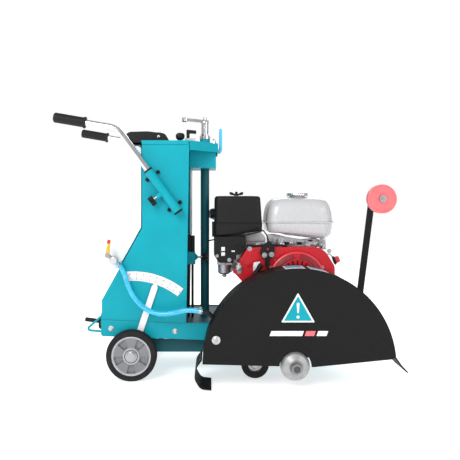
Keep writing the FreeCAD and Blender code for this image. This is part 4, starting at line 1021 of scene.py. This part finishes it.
def under_tank():
    """Tank brackets and rail, governor arms and spring, and the cylinder's cowl."""
    base = 107.0
    corners = ((-72, -84), (110, -84), (-72, 74), (110, 74))
    plates = Shape()
    for x, y in corners:
        web = rounded([(-14, 0), (14, 0), (11, 42), (-11, 42)], 3)
        plates.prism(engine(x, y, base), X, Z, web, -3, 0.6)
        plates.prism(engine(x - 12, y - 3, base - 1), X, Y, round_rect(0, 24, -14, 3, 3), 3, 0.6)
    plates.done("tank_brackets", "steel")
    bolts = Shape()
    for x, y in corners:
        bolts.hex_bolt(engine(x, y - 9, base + 2), Z, 9, 5, 1)
        bolts.hex_bolt(engine(x, y - 3, base + 26), -Y, 10, 5, 1)
    bolts.done("tank_bracket_bolts", "steel")
    rail = Shape()
    outline = [(-98, 112), (118, 112), (122, 134), (84, 146), (30, 142), (-20, 150), (-70, 162),
               (-100, 160)]
    rail.prism(engine(0, -66, 0), X, Z, rounded(outline, 6), -20, 2)
    for x in (-84, -40, 8, 52, 96):
        rail.prism(engine(x, -67, 114), X, Z, round_rect(-4, 4, 0, 26, 3), 4, 1.4)
    rail.done("tank_rail", "aluminium")
    arms = Shape()
    for x, y, z, outline, radius, thick, edge in (
            (-104, -96, 112, [(0, -4), (66, 6), (66, 14), (0, 4)], 3, 2.4, 0.5),
            (6, -98, 116, [(-4, -3), (70, 4), (84, 16), (78, 20), (66, 12), (-4, 5)], 3, 2.4, 0.5),
            (-150, -92, 112, [(0, 0), (30, 0), (42, 18), (30, 24), (6, 16)], 4, 3, 0.6),
            (-60, -100, 118, [(0, 0), (12, 0), (18, 30), (8, 36), (-4, 14)], 3, 2.4, 0.5),
            (40, -96, 112, [(0, 0), (22, -2), (26, 20), (12, 26), (2, 18)], 4, 3, 0.6)):
        arms.prism(engine(x, y, z), X, Z, rounded(outline, radius), thick, edge)
    for x, z, radius in ((-100, 114, 7), (72, 126, 6), (-46, 124, 8), (-12, 130, 6), (52, 120, 7),
                         (100, 124, 5)):
        profile = [(0, 0), (0, radius), (4, radius), (5, radius - 2), (5, 0)]
        arms.lathe(engine(x, -99, z), -Y, profile, 24)
    arms.done("governor_arms", "steel")
    # painted shade: black patches on the rail where its gaps are
    gaps = Shape()
    for x, z, tall in ((-60, 128, 10), (-24, 120, 12), (24, 122, 10), (66, 134, 6)):
        gaps.prism(engine(x, -71.2, z), X, Z, round_rect(-9, 9, 0, tall, 3), 1.2, 0.4)
    gaps.done("tank_rail_gaps", "black_plastic")
    spring = []
    turns, per_turn = 11, 12
    for i in range(turns * per_turn + 1):
        angle = 2 * math.pi * i / per_turn
        share = i / (turns * per_turn)
        x, z = -44 + 54 * share, 119 + 5 * share
        spring.append(engine(x, -101 + 4 * math.cos(angle), z + 4 * math.sin(angle)))
    Shape().tube(spring, 0.8, 6).done("governor_spring", "steel")
    cowl = Shape()
    outline = [(-186, 118), (-104, 118), (-104, 150), (-128, 176), (-186, 176)]
    cowl.prism(engine(0, -60, 0), X, Z, rounded(outline, 8), -22, 3)
    cowl.prism(engine(0, -61, 0), X, Z, round_rect(-184, -106, 134, 139, 2), 3, 1.2)
    cowl.done("cylinder_cowl", "aluminium")


def engine_left():
    """Far side of the engine: foot bolts, oil filler and drain, case bolts and the muffler's louvres."""
    feet = [engine(x, y, -120) for x in (-146, 146) for y in (-86, 86)]
    bolt_set("engine_feet_bolts", feet, Z, 13, 7, 2)
    profile = [(0, 0), (0, 14), (6, 14), (8, 17), (16, 17), (18, 14), (18, 0)]
    filler = Shape().lathe(engine(-112, 96, -70), Y, profile, 48, wave=(12, 0.6))
    filler.done("oil_filler_cap", "black_plastic")
    bolt_set("oil_drain_bolt", [engine(-60, 96, -106)], Y, 15, 8, 2)
    cover = [engine(x, 96, z) for x, z in circle(80, 7, turn=math.degrees(0.3))]
    bolt_set("case_cover_bolts", cover, Y, 10, 5, 1)
    shield = Shape()
    muffler_low, muffler_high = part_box("muffler")
    shield_at = Vector(((muffler_low.x + muffler_high.x) / 2, muffler_high.y - 17.6 * MM, 0))
    for row in range(7):
        for column in range(8):
            x, z = -30 + 10.5 * column, 492 + 17 * row
            at = Vector((shield_at.x + x * MM, shield_at.y, z * MM))
            shield.prism(at, Z, X, round_rect(-5.5, 5.5, -3.2, 3.2, 3), 1.6, 0.6)
    shield.done("muffler_louvres", "cast_iron")


def belt_side():
    """Bolts and stiffening ribs of the belt guard."""
    face = high("belt_guard").y
    top, bottom = by_crank(0, face, 0), Vector((ARBOR.x, face, ARBOR.z))
    places = [centre + heading(angle) * (52 * MM)
              for centre, angles in ((top, (30, 90, 150)), (bottom, (210, 270, 330))) for angle in angles]
    bolt_set("belt_guard_bolts", places, Y, 10, 5, 1.4)
    ribs = Shape()
    ring = [(22, -0.2), (26, -0.2), (26, 2.4), (22, 2.4)]
    for centre in (top, bottom):
        ribs.arc(centre, ring, 0, 359.9, 48)
    for share in (0.3, 0.5, 0.7):
        at = top.lerp(bottom, share)
        ribs.prism(at - Y * (0.3 * MM), Z, X, round_rect(-4, 4, -40, 40, 4), 2.4, 1.2)
    ribs.done("belt_guard_ribs", "black_paint")


# ---------------------------------------------------------------- frame details
PLATE_Z = high("column").z + 5 * MM


def on_plate(x, y, rise=0.0):
    """A point in mm on the top plate, ahead of the rear axle and left of the centre plane."""
    at = spot(x, y, 0)
    at.z = PLATE_Z + rise * MM
    return at


def top_side():
    """Stop knob, throttle base and nuts on the top plate, the lid's bolts and the crank's collars."""
    profile = [(0, 0), (0, 13), (6, 13), (7, 9), (12, 9), (13, 11), (16, 15), (26, 17), (33, 15), (37, 9),
               (38, 0)]
    knob = Shape().lathe(on_plate(167, -104), Z, profile, 48, wave=(6, 0.9))
    knob.done("stop_knob", "black_plastic")
    base = Shape().prism(on_plate(186, -62), X, Y, round_rect(0, 44, 0, 30, 4), 2, 0.5)
    base.done("throttle_base", "steel")
    hub_x = (middle("screw_post").x - spot(0, 0, 0).x) / MM
    nuts = Shape()
    nuts.hex_bolt(on_plate(hub_x + 36, -14), Z, 13, 15, 2)
    nuts.lathe(on_plate(hub_x + 36, -14, 17), Z, [(0, 0), (0, 5), (8, 5), (9, 4), (9, 0)], 20)
    for x, y in ((190, -64), (226, -64), (190, -30), (226, -30)):
        nuts.dome_bolt(on_plate(x, y, 1.6), Z, 4.5, 3)
    nuts.done("plate_nuts", "chrome")
    lid_low, lid_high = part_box("tank_lid")
    bolt_x = lid_high.x - 53 * MM
    bolt = Shape().hex_bolt(Vector((bolt_x, lid_low.y + 22 * MM, lid_high.z - 6.5 * MM)), Z, 12, 5, 1.5)
    bolt.dome_bolt(Vector((bolt_x, lid_low.y + 0.2 * MM, lid_high.z - 20 * MM)), -Y, 7, 5)
    bolt.done("lid_bolts", "chrome", "tank_lid")
    screw = middle("screw_post")
    rings = Shape()
    for drop, profile in ((24, [(0, 13.6), (0, 16), (4, 16.4), (8, 15), (8, 13.6)]),
                          (72, [(0, 13.6), (0, 18), (4, 18), (6, 15), (6, 13.6)])):
        at = Vector((screw.x, screw.y, high("crank_handle").z - drop * MM))
        rings.lathe(at, Z, profile, 36, closed=True)
    rings.done("crank_rings", "chrome", "depth_crank")


def flange_face():
    """Cast look of the blade flange; painted shade on its centre, radial flats and hexagon recess."""
    refinish("blade_flange", "flange_cast")
    face_y = low("blade_flange").y
    # painted shade: the flange's centre gets the darker cast finish
    paint("blade_flange", "shaded_cast", lambda point, normal: from_line(point, ARBOR, Y) < 22.5
          and point.y < face_y + 18.6 * MM)
    # painted shade: a dark hexagon plate where the recess is
    dark = Shape().prism(Vector((ARBOR.x, face_y, ARBOR.z)), X, Z, circle(12.5, 6, turn=30), 0.6, 0.2)
    dark.done("flange_socket", "cast_iron", "arbor")
    # painted shade: radial flats in the darker cast finish
    flats = Shape()
    for k in range(5):
        out = heading(72 * k + 18)
        across = Vector((-out.z, 0, out.x))
        at = Vector((ARBOR.x, face_y + 23.4 * MM, ARBOR.z))
        tilt = (out + Y * 0.62).normalized()
        outline = rounded([(-5, 0), (5, 0), (10, 15), (-10, 15)], 3)
        flats.prism(at + out * (26 * MM), across, tilt, outline, 2.4, 0.8)
    flats.done("flange_flats", "shaded_cast", "arbor")


def frame_shades():
    """Painted shade on the deck's top faces, a dark seam between base and column, and matt bolt heads."""
    deck_z = 0.186
    # painted shade: the deck's upward faces get the dark teal paint, darker than the lit sides
    paint("chassis", "dark_teal_paint", lambda point, normal: normal.z > 0.9 and point.z > deck_z)
    refinish("frame_fasteners", "turned_steel")
    seam = Shape()
    for sign in (-1, 1):
        face = MID_Y + sign * 178 * MM
        start, end = spot(-112, 0, 211.1), spot(193, 0, 197.1)
        way = (end - start).normalized()
        up = Vector((-way.z, 0, way.x))
        length = (end - start).length / MM
        line = round_rect(0, length, -0.6, 0.6, 0.4)
        seam.prism(Vector((start.x, face, start.z)), way, up, line, -0.35 * sign, 0.1, 1)
    seam.done("base_seam", "dark_teal_paint")


def frame_welds():
    """Weld beads where the frame's plates and tubes meet."""
    beads = Shape()
    deck_z = 196.5
    for y in (-176, 176):
        beads.bead([spot(196, y, deck_z), spot(318, y, deck_z)])
    screw = middle("screw_post")
    post = Vector((screw.x, screw.y, deck_z * MM))
    around = circle(18.5, 24)
    beads.bead([post + Vector((x, y, 0)) * MM for x, y in around + around[:1]])
    for sign in (-1, 1):
        for along in (30, 150):
            foot = socket_start(sign) + BAR_WAY * (along * MM)
            foot.y = MID_Y + sign * 182 * MM
            beads.bead([foot + heading(20 * k) * (14.2 * MM) for k in range(19)], 1.8)
    beads.done("weld_beads", "teal_paint")
    rear = [spot(-117, y, z) for y in (-130, 130) for z in (170, 215)]
    bolt_set("rear_plate_bolts", rear, -X, 12, 6, 1.6, "chrome")


def lock_trim():
    """Steel faces of the lock and guide hardware."""
    knob = middle("lock_knob")
    paint("lock_knob", "steel", lambda point, normal: from_line(point, knob, X) < 4.4)
    wheel = middle("guide_roller")
    paint("guide_bar", "steel", lambda point, normal: from_line(point, wheel, Y) < 13
          and point.y < wheel.y + 30 * MM)
    slide_top = high("lock_slide").z
    paint("lock_slide", "steel", lambda point, normal: point.z > slide_top - 256 * MM)
    wheel_end = Vector((wheel.x, low("guide_bar").y, wheel.z))
    bolt_set("roller_bolt", [wheel_end], -Y, 9, 4, 0.6, body="guide_arm")
    bolt_set("guide_pivot_nut", [spot(798, -194.5, 139)], -Y, 16, 8, 2)


# ---------------------------------------------------------------- cables
def cable(name, points, diameter):
    """Cable as a round cord on the main frame along a smooth spline; a mesh of its line is made and
    removed.
    """
    made = nurbs(name, points, diameter, "rubber")
    line = bpy.data.curves.new("line", "CURVE")
    add_spline(line, points)
    holder = bpy.data.objects.new("line", line)
    bpy.context.scene.collection.objects.link(holder)
    mesh = bpy.data.meshes.new_from_object(holder)
    bpy.data.objects.remove(holder)
    bpy.data.meshes.remove(mesh)


def cables():
    """The engine's cables and wires."""
    routes = (
        ("throttle_cable", 0.005, ((-321, -20, 134), (-306, -46, 138), (-270, -96, 152),
                                   (-215, -130, 156), (-160, -136, 166), (-122, -132, 178))),
        ("governor_cable", 0.005, ((-122, -128, 180), (-110, -138, 168), (-104, -150, 146),
                                   (-102, -158, 126), (-104, -160, 104))),
        ("engine_wiring", 0.008, ((-192, -140, 112), (-160, -150, 122), (-120, -152, 124),
                                  (-78, -150, 124), (-44, -142, 124), (-30, -120, 116))),
        ("stop_wire", 0.003, ((118, -118, 88), (124, -124, 92), (134, -124, 86), (142, -121, 74))))
    for name, diameter, route in routes:
        cable(name, [engine(*point) for point in route], diameter)


BUILDERS = (
    wheels, sockets, water, scale_marks, guard_marks, guard_trim, fuel_tank, air_cleaner, recoil,
    shroud_trim, ignition, carburettor, under_tank, engine_left, belt_side, top_side, frame_welds,
    flange_face, frame_shades, lock_trim, cables,
)
for build in BUILDERS:
    build()
